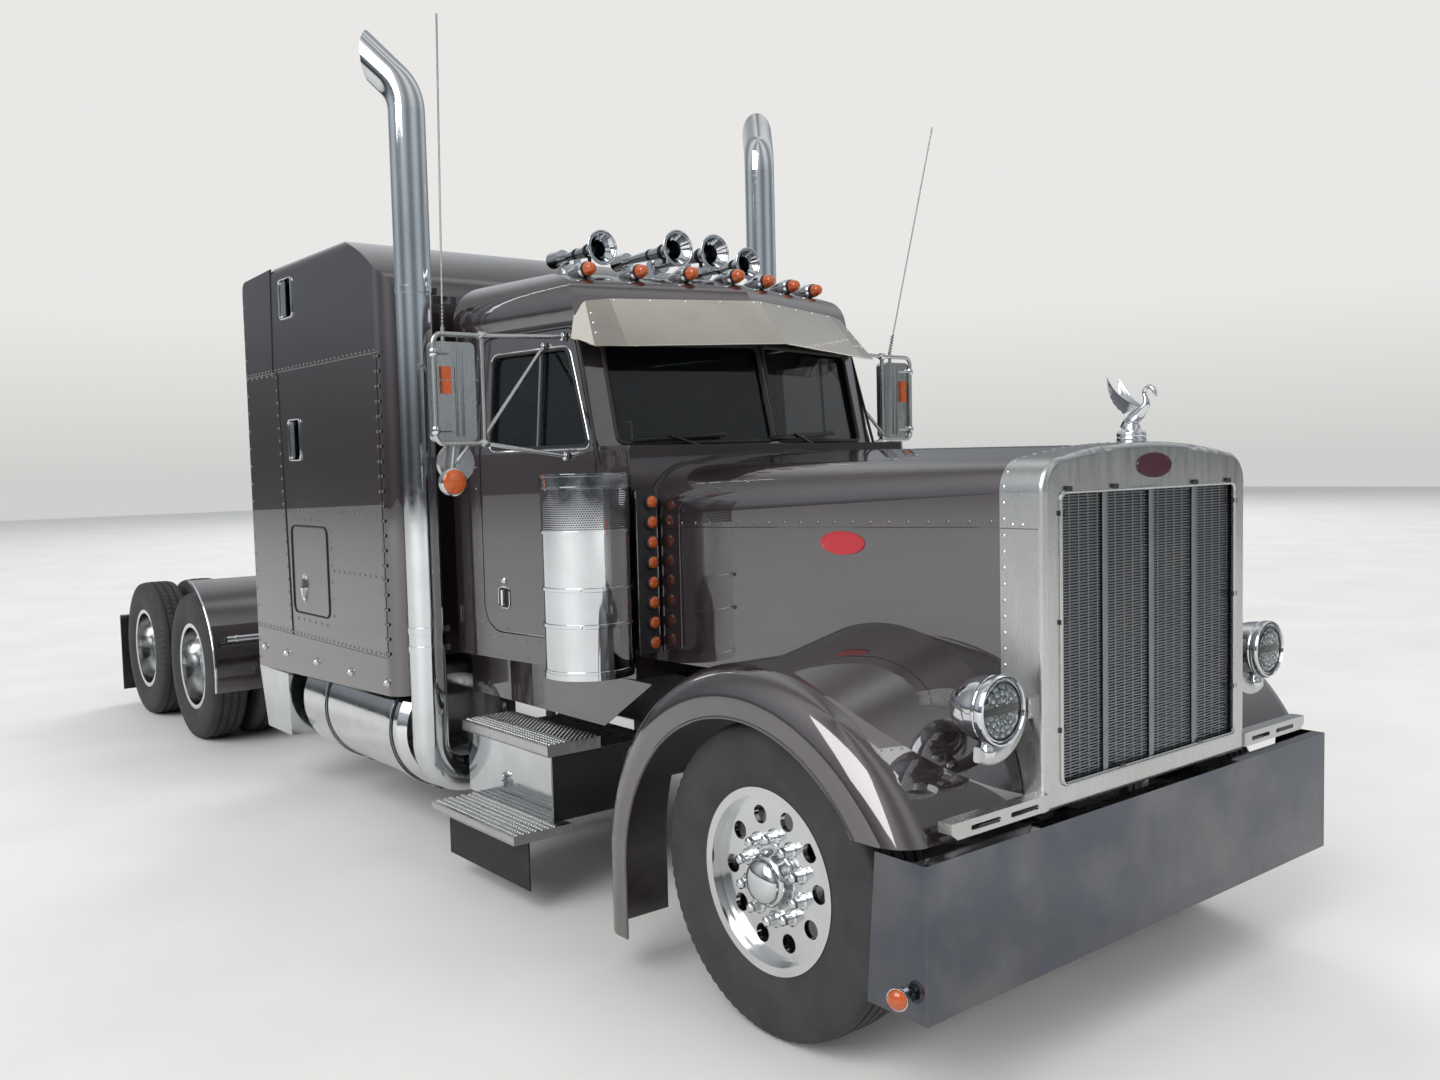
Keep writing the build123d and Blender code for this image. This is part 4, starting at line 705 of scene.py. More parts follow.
# %% The hood outline
SHELL = dict(x=4.566, half=0.626, corner=0.115, shoulder=1.982, crown=2.024, low=0.85)
HOOD_FRONT = dict(x=4.550, half=0.624, corner=0.115, shoulder=1.979, crown=2.018, low=1.14)
HOOD_REAR = dict(x=2.785, half=0.748, corner=0.220, shoulder=1.985, crown=2.032, low=1.14)


def outline(x, half, corner, shoulder, crown, low, side_steps=30, arc_steps=16, crown_steps=60):
    """Points from the right side's foot over the top to the left's: side, quarter circle,
    then z = crown - drop (y/h)^2."""
    z = np.linspace(low, shoulder - corner, side_steps)
    a = np.linspace(0, np.pi / 2, arc_steps)[1:]
    flat = half - corner
    y_top = np.linspace(-flat, 0, crown_steps // 2)[1:]
    right = np.concatenate([
        np.stack([np.full_like(z, -half), z], 1),
        np.stack([-flat - corner * np.cos(a), shoulder - corner + corner * np.sin(a)], 1),
        np.stack([y_top, crown - (crown - shoulder) * (y_top / flat) ** 2], 1),
    ])
    left = right[-2::-1] * [-1, 1]
    path = np.concatenate([right, left])
    return np.insert(path, 0, x, axis=1)


def along(path, start, pitch, end=None):
    """Places at equal steps along a path, measured as arc length, with the unit tangent at each."""
    step = np.linalg.norm(np.diff(path, axis=0), axis=1)
    length = np.insert(np.cumsum(step), 0, 0.0)
    at = np.arange(start, (end or length[-1] - start) + 1e-9, pitch)
    places = np.stack([np.interp(at, length, path[:, i]) for i in range(3)], 1)
    ahead = np.stack([np.interp(at + 0.004, length, path[:, i]) for i in range(3)], 1)
    behind = np.stack([np.interp(at - 0.004, length, path[:, i]) for i in range(3)], 1)
    return places, unit(ahead - behind)


def hood_point(t, y_sign, z):
    """A point on the hood's straight side: t runs from 0 at the shell to 1 at the cab."""
    x = HOOD_FRONT["x"] + t * (HOOD_REAR["x"] - HOOD_FRONT["x"])
    half = HOOD_FRONT["half"] + t * (HOOD_REAR["half"] - HOOD_FRONT["half"])
    return np.stack([x, y_sign * half, z + 0 * np.asarray(t)], -1)


# %% [markdown]
# Aluminium hoods of this kind are riveted: a row runs along each side above a lapped seam, and one
# follows the edge of the radiator shell. One dome is copied to every place, turned to the surface.

# %% Hood rivets, seam and seal
RIVET_PITCH_HOOD, RIVET_PITCH_SHELL = 0.082, 0.053
SIDE_NORMAL = unit([0.07, 1.0, 0.0])


def build_hood_trim():
    """Rivets on the hood's sides and on the shell's edge, with the lapped seam and the rear seal."""
    rivets, seams = [], []
    for _, sign in SIDES:
        t = np.linspace(0.02, 0.985, int(1.765 / RIVET_PITCH_HOOD))
        normal = SIDE_NORMAL * [1, sign, 1]
        rivets.append(copies(RIVET, hood_point(t, sign, 1.772 - 0.040 * t), normal))
        t = np.linspace(0.0, 1.0, 12)
        path = hood_point(t, sign, 1.755 - 0.040 * t) + normal * 0.0006
        seams.append(tube(path, 0.0022, 6))
    path = outline(**SHELL)
    places, tangent = along(path, 0.03, RIVET_PITCH_SHELL)
    normal = np.cross(tangent, [1.0, 0, 0])
    normal *= np.sign(np.sum(normal * (places - [4.566, 0, 1.5]), 1, keepdims=True))
    shell_rivets = [copies(RIVET, places, normal)]
    for _, sign in SIDES:
        side = [(4.60, sign * 0.626, 1.764), (4.64, sign * 0.626, 1.764)]
        shell_rivets.append(copies(RIVET, side, [0, sign, 0]))
        seams.append(tube([(4.552, sign * 0.6265, 1.752), (4.700, sign * 0.6265, 1.752)], 0.0016, 6))
    piece("hood_rivets", rivets + seams, PAINT, "hood")
    piece("shell_rivets", shell_rivets, CHROME, "hood")
    rear = outline(**{**HOOD_REAR, "x": 2.780})
    piece("hood_seal", [tube(rear, 0.011, 8)], BLACK_RUBBER, "hood")


build_hood_trim()

# %% [markdown]
# The grille is a woven steel screen, lightly tarnished, behind three flat uprights. Each flat wire
# weaves over and under: its depth is a cosine of the place along it, with neighbours half a wave apart.
# One row of wire is worked out and its faces are shifted for all the others.

# %% Woven grille
GRILLE_X, GRILLE_HALF_W, GRILLE_LOW, GRILLE_HIGH = 4.704, 0.552, 0.906, 1.878
ROW_PITCH, COLUMN_PITCH = 0.00975, 0.0520
SHELL_FACE_X, UPRIGHTS_Y = 4.7225, (-0.278, 0.0, 0.278)


def woven_rows():
    """Rows of flat wire: x = x0 + 1.6 mm cos(pi y / pitch + pi row), section 4.2 x 1.6 mm, ends shut."""
    z = np.arange(GRILLE_LOW, GRILLE_HIGH, ROW_PITCH)
    count = int(2 * GRILLE_HALF_W / COLUMN_PITCH)
    y = (np.arange(4 * count + 1) - 2 * count) * COLUMN_PITCH / 4
    wave = 0.0016 * np.cos(np.pi * y[None] / COLUMN_PITCH + np.pi * (np.arange(len(z)) % 2)[:, None])
    corner = np.array([[-1, -1], [1, -1], [1, 1], [-1, 1]]) * [0.0008, 0.0021]
    x = GRILLE_X + wave[..., None] + corner[:, 0]
    points = np.stack([x, np.broadcast_to(y[None, :, None], x.shape),
                       z[:, None, None] + corner[:, 1] + 0 * x], -1)
    first, last = points[:, :1].mean(2, keepdims=True), points[:, -1:].mean(2, keepdims=True)
    points = np.concatenate([np.repeat(first, 4, 2), points, np.repeat(last, 4, 2)], 1)
    per_row = points.shape[1] * 4
    _, faces = grid(points[0], close_v=True)
    faces = faces[None] + per_row * np.arange(len(z))[:, None, None]
    return points.reshape(-1, 3), faces.reshape(-1, 4)


def build_grille():
    """Woven rows, straight columns, a nearly black sheet behind them that paints the shade in the grille's
    gaps, three uprights and the clips round the edge.
    """
    side = int(GRILLE_HALF_W / COLUMN_PITCH)
    y = np.arange(-side, side + 1) * COLUMN_PITCH
    middle_z, height = (GRILLE_LOW + GRILLE_HIGH) / 2, GRILLE_HIGH - GRILLE_LOW
    centres = np.stack([np.full_like(y, GRILLE_X), y, np.full_like(y, middle_z)], 1)
    columns = boxes(centres, [0.0016, 0.0060, height])
    piece("grille_weave", [woven_rows(), columns], MESH_STEEL, "hood", ["grille"])
    # A nearly black sheet just behind the weave: painted shade for the dark depth seen through the grille's
    # gaps.
    screen = boxes([(4.6975, 0, middle_z)], [0.001, 2 * GRILLE_HALF_W, height])
    piece("insect_screen", [screen], BLACK_RUBBER, "hood")
    bars = []
    for y in UPRIGHTS_Y:
        path = line((GRILLE_X + 0.007, y, GRILLE_LOW), (GRILLE_X + 0.007, y, GRILLE_HIGH), 0.2)
        bars.append(tube(path, 0.014, 16, 0.45))
    piece("grille_uprights", bars, MESH_STEEL, "hood")
    foot = (SHELL_FACE_X, 0, 0.918)
    corners = [(SHELL_FACE_X, s * 0.540, z) for s, z in ((1, 0.918), (1, 1.866), (-1, 1.866), (-1, 0.918))]
    loop = arc_path([foot, *corners, foot], 0.03)
    piece("grille_bead", [tube(loop, 0.0075, 10)], SATIN, "hood")
    clips = [(4.726, y, 1.877) for y in (-0.50, -0.24, 0.26, 0.49)]
    clips += [(4.724, s * 0.536, z) for s in (-1, 1) for z in (1.10, 1.45, 1.80)]
    clips += [(4.724, y, 0.922) for y in (-0.20, 0.30)]
    piece("grille_clips", [boxes(clips, [0.008, 0.032, 0.016])], CHASSIS, "hood")


build_grille()
print("grille made")

# %% [markdown]
# The headlamps are chrome bullets on a curved arm, each with a round seven-inch lens. The lamp inside
# is split by a dark bar into an upper and a lower reflector made of small bright pockets.

# %% Headlamps
LAMP_X, LAMP_Y, LAMP_Z, LAMP_R = 4.712, 0.830, 1.203, 0.112


def half_reflector(centre, sign, radius):
    """A half disc of pockets: r and angle on a grid,
    depth = 6 mm |sin(7 a)| |sin(4 pi r)|, closed behind."""
    r = np.linspace(0.12, 1.0, 22)[:, None] * radius
    a = np.linspace(0.10, np.pi - 0.10, 60)[None] * sign
    depth = 0.006 * np.abs(np.sin(7 * a)) * np.abs(np.sin(4 * np.pi * r / radius))
    front = np.stack([-0.004 - depth + 0 * r, r * np.cos(a), r * np.sin(a) + sign * 0.003], -1)
    back = front * [0, 1, 1] + [-0.018, 0, 0]
    rim = np.concatenate([front[0], front[1:-1, -1], front[-1, ::-1], front[-2:0:-1, 0]])
    rim_back = rim * [0, 1, 1] + [-0.018, 0, 0]
    shapes = [grid(front), grid(back), grid(np.stack([rim, rim_back]), close_v=True)]
    return [(p + centre, f) for p, f in shapes]


def crescent(sign):
    """The bracket beside and under a lamp:
    its section runs between two circles of unlike centres, 26 mm deep in X."""
    t = np.linspace(0, 1, 40)[:, None]
    outer_a = np.pi + np.radians(116) * t
    outer = np.concatenate([0.806 + 0.172 * np.cos(outer_a), 1.195 + 0.172 * np.sin(outer_a)], 1)
    inner = np.concatenate([0.818 + 0.138 * np.cos(outer_a), 1.212 + 0.138 * np.sin(outer_a)], 1)
    across = np.array([0.12, 0.88, 1.0, 1.0, 0.88, 0.12, 0.0, 0.0])
    depth = np.array([4.666, 4.666, 4.662, 4.644, 4.640, 4.640, 4.644, 4.662])
    yz = outer[:, None] + (inner - outer)[:, None] * across[:, None]
    points = np.stack([np.broadcast_to(depth, yz.shape[:2]), sign * yz[..., 0], yz[..., 1]], -1)
    ends = np.repeat(points[[0, -1]].mean(1, keepdims=True), 8, 1)
    return grid(np.concatenate([ends[:1], points, ends[1:]]), close_v=True)


def build_headlamp(sign):
    """Bullet pod with its bezel, the crescent bracket,
    the foot that tilts the lamp and the pad on the shell."""
    centre = np.array([LAMP_X, sign * LAMP_Y, LAMP_Z])
    t = np.linspace(0, np.pi / 2, 16)
    back = np.stack([0.106 * np.sin(t) ** 0.9, -0.040 - 0.142 * np.cos(t)], 1)
    rim = [(0.107, -0.034), (0.109, -0.030), (0.107, -0.026), (LAMP_R - 0.002, -0.024),
           (LAMP_R, -0.018), (LAMP_R, 0.000), (0.108, 0.007), (0.103, 0.008),
           (0.101, 0.004), (0.100, -0.004), (0.0965, -0.006), (0.0955, 0.002),
           (0.0925, 0.003), (0.0915, -0.004), (0.0915, -0.030), (0, -0.030)]
    pod = lathe(np.concatenate([back, rim]), centre, (1, 0, 0), 72)
    foot = np.array([4.653, sign * LAMP_Y, 1.050])
    turned = [(0, -0.008), (0.012, -0.008), (0.012, 0), (0.026, 0.002), (0.030, 0.014),
              (0.026, 0.028), (0.018, 0.040), (0.018, 0.062), (0, 0.064)]
    boss = lathe(turned, foot, (0, 0, 1), 32)
    pad = boxes([(4.653, sign * 0.643, 1.182)], [0.060, 0.034, 0.066])
    bolts = copies(RIVET, [(4.684, sign * 0.650, 1.2), (4.684, sign * 0.650, 1.164)], (1, 0, 0))
    lights = half_reflector(centre, 1, 0.086) + half_reflector(centre, -1, 0.086)
    return [pod, boss, bolts], [crescent(sign), pad], lights, centre


for side, sign in SIDES:
    shapes, bracket, lights, centre = build_headlamp(sign)
    replaced = ["headlamps"] if side == "right" else []
    piece(f"headlamp_{side}", shapes, CHROME, "hood", replaced)
    piece(f"headlamp_bracket_{side}", bracket, SATIN, "hood")
    piece(f"headlamp_reflectors_{side}", lights, LAMP_SILVER, "hood", sharp=20)
    wall = [(0.086, -0.020), (0.0914, -0.020), (0.0914, -0.004), (0.086, -0.004)]
    bar = [boxes([centre + [-0.006, 0, 0.003]], [0.012, 0.174, 0.024]), lathe(wall, centre, (1, 0, 0), 48)]
    piece(f"headlamp_bar_{side}", bar, DARK_TRIM, "hood")
    t = np.linspace(0, np.pi / 2, 8)
    lens = np.stack([0.091 * np.sin(t), -0.004 + 0.010 * np.cos(t)], 1)
    lens = np.concatenate([lens, [(0.091, -0.006), (0, -0.006)]])
    piece(f"headlamp_lens_{side}", [lathe(lens, centre, (1, 0, 0), 48)], CLEAR_LENS, "hood")

# %% [markdown]
# The hood ornament is a cast bird with raised wings on a round foot: a plain design of its own. The body
# and the neck are one tapering tube; each wing is a thin closed sheet whose rear edge is scalloped.

# %% Bird ornament
BIRD_X, BIRD_Z = 4.635, 2.024


def wing(sign):
    """A leaf-shaped sheet: u from root to tip, v from the front edge to the rear one,
    whose feathers make shallow folds."""
    u = np.linspace(0, 1, 30)[:, None]
    v = np.linspace(0, 1, 19)[None]
    tip = np.array([BIRD_X - 0.074, BIRD_Z + 0.231])
    bow = np.sin(np.pi * u)
    front_root, rear_root = np.array([(0.044, 0.118), (-0.016, 0.094)]) + [BIRD_X, BIRD_Z]
    front = front_root * (1 - u) + tip * u + np.array([-0.010, -0.009]) * bow
    rear = rear_root * (1 - u) + tip * u + np.array([-0.017, -0.013]) * bow
    edge = 0.0022 * np.abs(np.sin(6 * np.pi * u)) * v**3
    x = front[:, :1] * (1 - v) + rear[:, :1] * v - edge
    z = front[:, 1:] * (1 - v) + rear[:, 1:] * v - edge
    fold = 0.0011 * np.cos(14 * np.pi * v) * (1 - u) * u**0.3
    y = sign * (0.007 + 0.030 * u**0.8 + 0.010 * np.sin(np.pi * u) * (1 - v)) + sign * fold
    thick = 0.0028 * (1 - u) * (1 - v) ** 2 + 0.0009
    outside = np.stack([x, y + sign * thick, z], -1)
    inside = np.stack([x, y - sign * thick, z], -1)
    loop = np.concatenate([outside, inside[:, ::-1]], 1)
    ends = np.repeat(loop[[0, -1]].mean(1, keepdims=True), loop.shape[1], 1)
    return grid(np.concatenate([ends[:1], loop, ends[1:]]), close_v=True)


def build_bird():
    """Stepped round foot, body and neck as one tube whose radius changes along it,
    a bent head, and two wings."""
    turned = [(0, -0.002), (0.047, -0.002), (0.050, 0.002), (0.050, 0.014), (0.048, 0.017),
              (0.050, 0.020), (0.050, 0.030), (0.046, 0.036), (0.036, 0.040), (0.031, 0.046),
              (0.030, 0.058), (0.024, 0.068), (0, 0.074)]
    foot = lathe(turned, (BIRD_X, 0, BIRD_Z), (0, 0, 1), 64)
    spine = np.array([(-0.044, 0.052), (-0.034, 0.056), (-0.016, 0.068), (0.010, 0.082), (0.032, 0.098),
                      (0.050, 0.116), (0.060, 0.134), (0.056, 0.152), (0.049, 0.168), (0.053, 0.183),
                      (0.067, 0.191), (0.081, 0.186), (0.089, 0.174), (0.094, 0.162), (0.098, 0.150)])
    radius = [0.002, 0.011, 0.020, 0.025, 0.024,
              0.019, 0.013, 0.0092, 0.008, 0.008,
              0.009, 0.010, 0.009, 0.005, 0.001]
    t = np.linspace(0, len(spine) - 1, 75)
    kernel = np.ones(7) / 7
    smooth = [np.interp(t, np.arange(len(spine)), spine[:, i]) for i in (0, 1)]
    smooth = [np.convolve(np.pad(s, 3, mode="edge"), kernel, "valid") for s in smooth]
    path = np.stack([BIRD_X + smooth[0], 0 * t, BIRD_Z + smooth[1]], 1)
    body = tube(path, np.interp(t, np.arange(len(radius)), radius), 24, 0.85)
    piece("bird", [foot, body, wing(-1), wing(1)], CHROME, "hood", ["hood_ornament"], sharp=50)


build_bird()

# %% [markdown]
# Small trim on the front: blank oval plates with a raised rim where a badge would be, the rolled edge
# of the fenders, and the amber side lamps at the bumper's lower corners.

# %% Blank plates, fender edge and bumper lamps
FENDER_X, FENDER_Y, FENDER_Z, FENDER_R = 3.910, 1.2385, 0.440, 0.680


def oval_plate(centre, normal, width, height, along_x):
    """An ellipse of the given size, 3 mm proud, with a raised rim: p = c + a x cos + b y sin."""
    a = np.linspace(0, 2 * np.pi, 48, endpoint=False)
    x = unit(along_x)
    y = np.cross(normal, x)
    ring = x * (width / 2 * np.cos(a))[:, None] + y * (height / 2 * np.sin(a))[:, None]
    centre = np.asarray(centre, float)
    steps = [(0.0, 0.003), (0.88, 0.003), (0.90, 0.0045), (0.98, 0.0045), (1.0, 0.0), (0.0, -0.001)]
    points = np.stack([centre + k * ring + h * np.asarray(normal) for k, h in steps])
    return grid(points, close_v=True)


def build_front_trim():
    """Badge plates, fender beads and bumper lamps on both sides."""
    plates = [oval_plate((SHELL_FACE_X, 0, 1.943), unit([1.0, 0, 0]), 0.215, 0.088, (0, 1, 0))]
    beads = []
    for _, sign in SIDES:
        normal = SIDE_NORMAL * [1, sign, 1]
        spot = hood_point(0.385, sign, 1.682) + normal * 0.0005
        plates.append(oval_plate(spot, normal, 0.215, 0.088, (1, -0.07 * sign, 0)))
        a = np.linspace(np.arcsin(0.390 / FENDER_R), np.pi, 60)
        y, tail_x = sign * FENDER_Y, FENDER_X - FENDER_R
        arc = np.stack([FENDER_X + FENDER_R * np.cos(a), 0 * a + y, FENDER_Z + FENDER_R * np.sin(a)], 1)
        path = np.concatenate([arc, [(tail_x, y, 0.30), (tail_x, y, 0.160)]])
        beads.append(tube(path, 0.0065, 8))
    piece("front_badge", plates[:1], MAROON, "hood")
    piece("side_badges", plates[1:], RED_ENAMEL, "hood")
    piece("fender_beads", beads, PAINT, "hood")
    for side, sign in SIDES:
        spot = np.array([4.655, sign * 1.230, 0.410])
        head, gaze = spot + [0, sign * -0.004, 0], (0.35, sign, 0)
        stalk = [(0, 0), (0.020, 0), (0.020, 0.010), (0.012, 0.014), (0.012, 0.034), (0, 0.034)]
        cup = [(0, 0.030), (0.026, 0.032), (0.034, 0.044), (0.034, 0.050), (0, 0.050)]
        shapes = [lathe(stalk, spot, (0, sign, 0)), lathe(cup, head, gaze, 32)]
        piece(f"corner_lamp_cup_{side}", shapes, CHROME, "chassis")
        t = np.linspace(0, np.pi / 2, 8)
        dome = np.stack([0.032 * np.cos(t), 0.049 + 0.020 * np.sin(t)], 1)
        dome = np.concatenate([[(0, 0.046), (0.032, 0.046)], dome])
        piece(f"corner_lamp_{side}", [lathe(dome, head, gaze, 32)], AMBER, "chassis")


build_front_trim()
print("front trim made")

# %% [markdown]
# The steps are aluminium treads: a smooth front band, and a top pressed into rows of round holes with
# raised lips that grip a boot. Ribs run between the rows, and the part behind the fold is chequered.

# %% Steps
DIAMOND = np.array([[-1, 0, 0], [0, -1, 0], [1, 0, 0], [0, 1, 0]])
TOOTH = grid(np.stack([
    DIAMOND * [0.0085, 0.0050, 0] + [0, 0, -0.0008],
    DIAMOND * [0.0050, 0.0028, 0] + [0, 0, 0.0030],
    DIAMOND * [0, 0, 0] + [0, 0, 0.0034],
]), close_v=True)
LIP = lathe([(0.0060, -0.001), (0.0095, -0.001), (0.0080, 0.0034),
             (0.0068, 0.0038), (0.0060, 0.0030), (0.0060, -0.001)], steps=10)
# One dark disc for a hole: painted shade of the dark space seen through it.
HOLE_SHADE = lathe([(0, 0.0006), (0.0062, 0.0006), (0.0062, 0.0016), (0, 0.0016)], steps=10)


def tread(low, high, pitch_x=0.0165, pitch_y=0.0125):
    """Teeth over a rectangle at the height of `high`: every second row is shifted by half a pitch."""
    x = np.arange(low[0] + 0.012, high[0] - 0.008, pitch_x)
    y = np.arange(low[1] + 0.012, high[1] - 0.008, pitch_y)
    gx, gy = np.meshgrid(x, y, indexing="ij")
    gx = gx + (np.arange(len(y)) % 2)[None] * pitch_x / 2
    places = np.stack([gx.ravel(), gy.ravel(), np.full(gx.size, high[2])], 1)
    return copies(TOOTH, places, (0, 0, 1))


def hole_rows(low, high, rows_y, pitch=0.0225):
    """Centres of the holes: a row along X at each y, every second row shifted by half a pitch."""
    rows = [line((low[0] + 0.018 + 0.5 * pitch * (i % 2), y, high[2]), (high[0] - 0.018, y, high[2]), pitch)
            for i, y in enumerate(rows_y)]
    return np.concatenate(rows)


STEP_TOP = ((1.530, -1.045, 0.680), (2.350, -0.760, 0.735))
STEP_LOW = ((1.600, -1.258, 0.333), (2.400, -1.022, 0.375))
STEP_FOLD_Y = -0.925
BOX_FACE_Y, BOX_Z = -1.0195, (0.378, 0.678)


def build_steps(side, sign):
    """Teeth, rolled noses and the folded ridge of the treads;
    the mirror-bright door of the box and its latch."""
    low_rows, top_rows = np.linspace(-1.232, -1.040, 7), np.linspace(-1.022, -0.944, 4)
    spots = np.concatenate([hole_rows(*STEP_LOW, low_rows), hole_rows(*STEP_TOP, top_rows)])
    teeth = [copies(LIP, spots, (0, 0, 1))]
    teeth.append(tread((1.530, STEP_FOLD_Y + 0.004, 0.680), STEP_TOP[1], 0.030, 0.0140))
    # The holes are dark discs inside the lips: painted shade of the dark space under the tread.
    hole_shades = [copies(HOLE_SHADE, spots, (0, 0, 1))]
    for rows, (low, high) in ((low_rows, STEP_LOW), (top_rows, STEP_TOP)):
        for y in (rows[1:] + rows[:-1]) / 2:
            ridge = line((low[0] + 0.004, y, high[2]), (high[0] - 0.004, y, high[2]), 0.4)
            teeth.append(tube(ridge, 0.0026, 6))
    groove = [boxes([(2.000, -1.130, STEP_LOW[1][2] + 0.0012)], [0.790, 0.008, 0.002])]
    noses = []
    for low, high in (STEP_TOP, STEP_LOW):
        for z in (low[2] + 0.004, high[2] - 0.004):
            nose = line((low[0] + 0.003, low[1] + 0.003, z), (high[0] - 0.003, low[1] + 0.003, z), 0.2)
            noses.append(tube(nose, 0.0048, 10))
    fold = [(1.534, STEP_FOLD_Y, 0.736), (2.346, STEP_FOLD_Y, 0.736)]
    noses.append(tube(line(*fold, 0.2), 0.0042, 8, 0.7))
    middle_z, height = sum(BOX_Z) / 2, BOX_Z[1] - BOX_Z[0]
    door = [boxes([(1.940, BOX_FACE_Y - 0.0005, middle_z)], [0.790, 0.003, height])]
    seal = line((1.546, BOX_FACE_Y - 0.003, 0.674), (2.334, BOX_FACE_Y - 0.003, 0.674), 0.2)
    door.append(tube(seal, 0.003, 8))
    latch = np.array([1.924, BOX_FACE_Y - 0.002, 0.500])
    door.append(oval_plate(latch, np.array([0.0, -1.0, 0.0]), 0.050, 0.086, (1, 0, 0)))
    knob = [(0, 0), (0.017, 0), (0.017, 0.018), (0.013, 0.024), (0, 0.025)]
    door.append(lathe(knob, latch + [0, 0, 0.016], (0, -1, 0), 24))
    door.append(boxes([latch + [0, -0.014, -0.020]], [0.030, 0.026, 0.030]))
    end = [boxes([(2.3412, -0.726, middle_z)], [0.003, 0.580, height])]
    if sign > 0:
        groups = (teeth, noses, door, end, hole_shades, groove)
        teeth, noses, door, end, hole_shades, groove = ([mirrored(s) for s in group] for group in groups)
    piece(f"step_teeth_{side}", teeth + noses, SATIN, "chassis", sharp=20)
    piece(f"step_box_door_{side}", door, CHROME, "chassis")
    piece(f"step_box_end_{side}", end, GLOSS_BLACK, "chassis")
    piece(f"step_hole_shades_and_groove_{side}", hole_shades + groove, DARK_TRIM, "chassis")


for side, sign in SIDES:
    build_steps(side, sign)

# %% [markdown]
# Each fuel tank is a spun aluminium drum held by two stainless straps. The straps lie on the drum and
# pull down at a bolt. A filler cap stands on top, towards the cab.

# %% Fuel tank straps and caps
TANK_R, TANK_Y, TANK_Z = 0.330, 0.850, 0.600
STRAPS_X = (0.040, 0.940)


STRAP_RING = [(0.0065, -0.031), (0.0115, -0.030), (0.0125, 0), (0.0115, 0.030), (0.0065, 0.031)]
STRAP_RUBBER = [(0.004, -0.037), (0.0085, -0.036), (0.0085, 0.036), (0.004, 0.037)]
FILLER_CAP = [(0, 0), (0.062, 0), (0.060, 0.012), (0.048, 0.016), (0.046, 0.030),
              (0.056, 0.032), (0.058, 0.050), (0.052, 0.056), (0, 0.056)]


def build_tank_trim(side, sign):
    """Straps as flat rings of section 62 x 4 mm, their rubber edges, and the filler cap."""
    shapes, edges = [], []
    for x in STRAPS_X:
        centre = (x, sign * TANK_Y, TANK_Z)
        ring = np.array(STRAP_RING + STRAP_RING[:1]) + [TANK_R, 0]
        shapes.append(lathe(ring, centre, (1, 0, 0), 96))
        rubber = np.array(STRAP_RUBBER + STRAP_RUBBER[:1]) + [TANK_R, 0]
        edges.append(lathe(rubber, centre, (1, 0, 0), 96))
    foot = np.array([0.62, sign * (TANK_Y + 0.02), TANK_Z + TANK_R - 0.004])
    lean = unit([0, sign * 0.12, 1.0])
    shapes.append(lathe(FILLER_CAP, foot, lean, 40))
    piece(f"tank_straps_{side}", shapes, CHROME, "chassis")
    piece(f"tank_strap_rubber_{side}", edges, BLACK_RUBBER, "chassis")


for side, sign in SIDES:
    build_tank_trim(side, sign)

# %% [markdown]
# The air cleaners beside the cowl are polished stainless cans. A band of small round holes near the top
# lets the air in. Two thin bands with bolts hold each can, and its cap has a rolled edge.

# %% Air cleaners
CLEANER_X, CLEANER_Y, CLEANER_R = 2.728, 1.048, 0.190


CLEANER_BANDS = (  # height of the middle, half the width, how far it stands out
    (1.949, 0.006, 0.0045),
    (1.899, 0.004, 0.003),
    (1.715, 0.007, 0.0035),
    (1.480, 0.010, 0.0035),
    (1.330, 0.010, 0.0035),
    (1.137, 0.008, 0.0035),
)


def build_cleaner(side, sign):
    """Bright trim that hugs the can: a rolled cap edge, the perforated screen, flat bands with latches,
    and a bottom bead; the screen's holes are dark discs, painted shade of the can's dark inside."""
    centre = (CLEANER_X, sign * CLEANER_Y, 0.0)
    r = CLEANER_R
    shapes = []
    for z, half, proud in CLEANER_BANDS:
        h = half * np.array([-1.0, -0.7, 0.7, 1.0])
        out = (r if abs(z - 1.925) < 0.03 else r - 0.006) + proud * np.array([-0.4, 1, 1, -0.4])
        inside = [(out[0] - 0.004, z + h[3]), (out[0] - 0.004, z + h[0])]
        band = np.concatenate([np.stack([out, z + h], 1), inside])
        shapes.append(lathe(np.concatenate([band, band[:1]]), centre, (0, 0, 1), 96))
    outward = unit([0.75, sign * 0.66, 0])
    for z in (1.330, 1.480):
        latch = centre + outward * (r + 0.002) + [0, 0, z]
        shapes.append(boxes([latch], [0.034, 0.016, 0.012], axes_from(outward)))
        shapes.append(copies(RIVET, [latch + outward * 0.006], outward))
    piece(f"air_cleaner_{side}", shapes, CHROME, "chassis")
    pitch = 2 * np.pi * (r - 0.005) / 110
    rows = np.arange(1.728, 1.892, pitch * 0.866)
    turns = (np.arange(len(rows)) % 2) * np.pi / 110
    ring = np.concatenate([circle((*centre[:2], z), (0, 0, 1), r - 0.0055, 110, turn)
                           for z, turn in zip(rows, turns)])
    # Each hole is a dark disc just inside the can's skin: painted shade for the dark inside seen through
    # the perforations.
    hole_shade = lathe([(0.0037, -0.001), (0.0037, 0.0008), (0, 0.0008)], steps=6)
    hole_shades = [copies(hole_shade, ring, (ring - centre) * [1, 1, 0])]
    piece(f"air_cleaner_hole_shades_{side}", hole_shades, DARK_TRIM, "chassis")


for side, sign in SIDES:
    build_cleaner(side, sign)

# %% [markdown]
# Between the hood and each air cleaner stands a dark plate with a column of eight amber lamps. Each
# lamp is a ribbed dome in a thin dark ring.

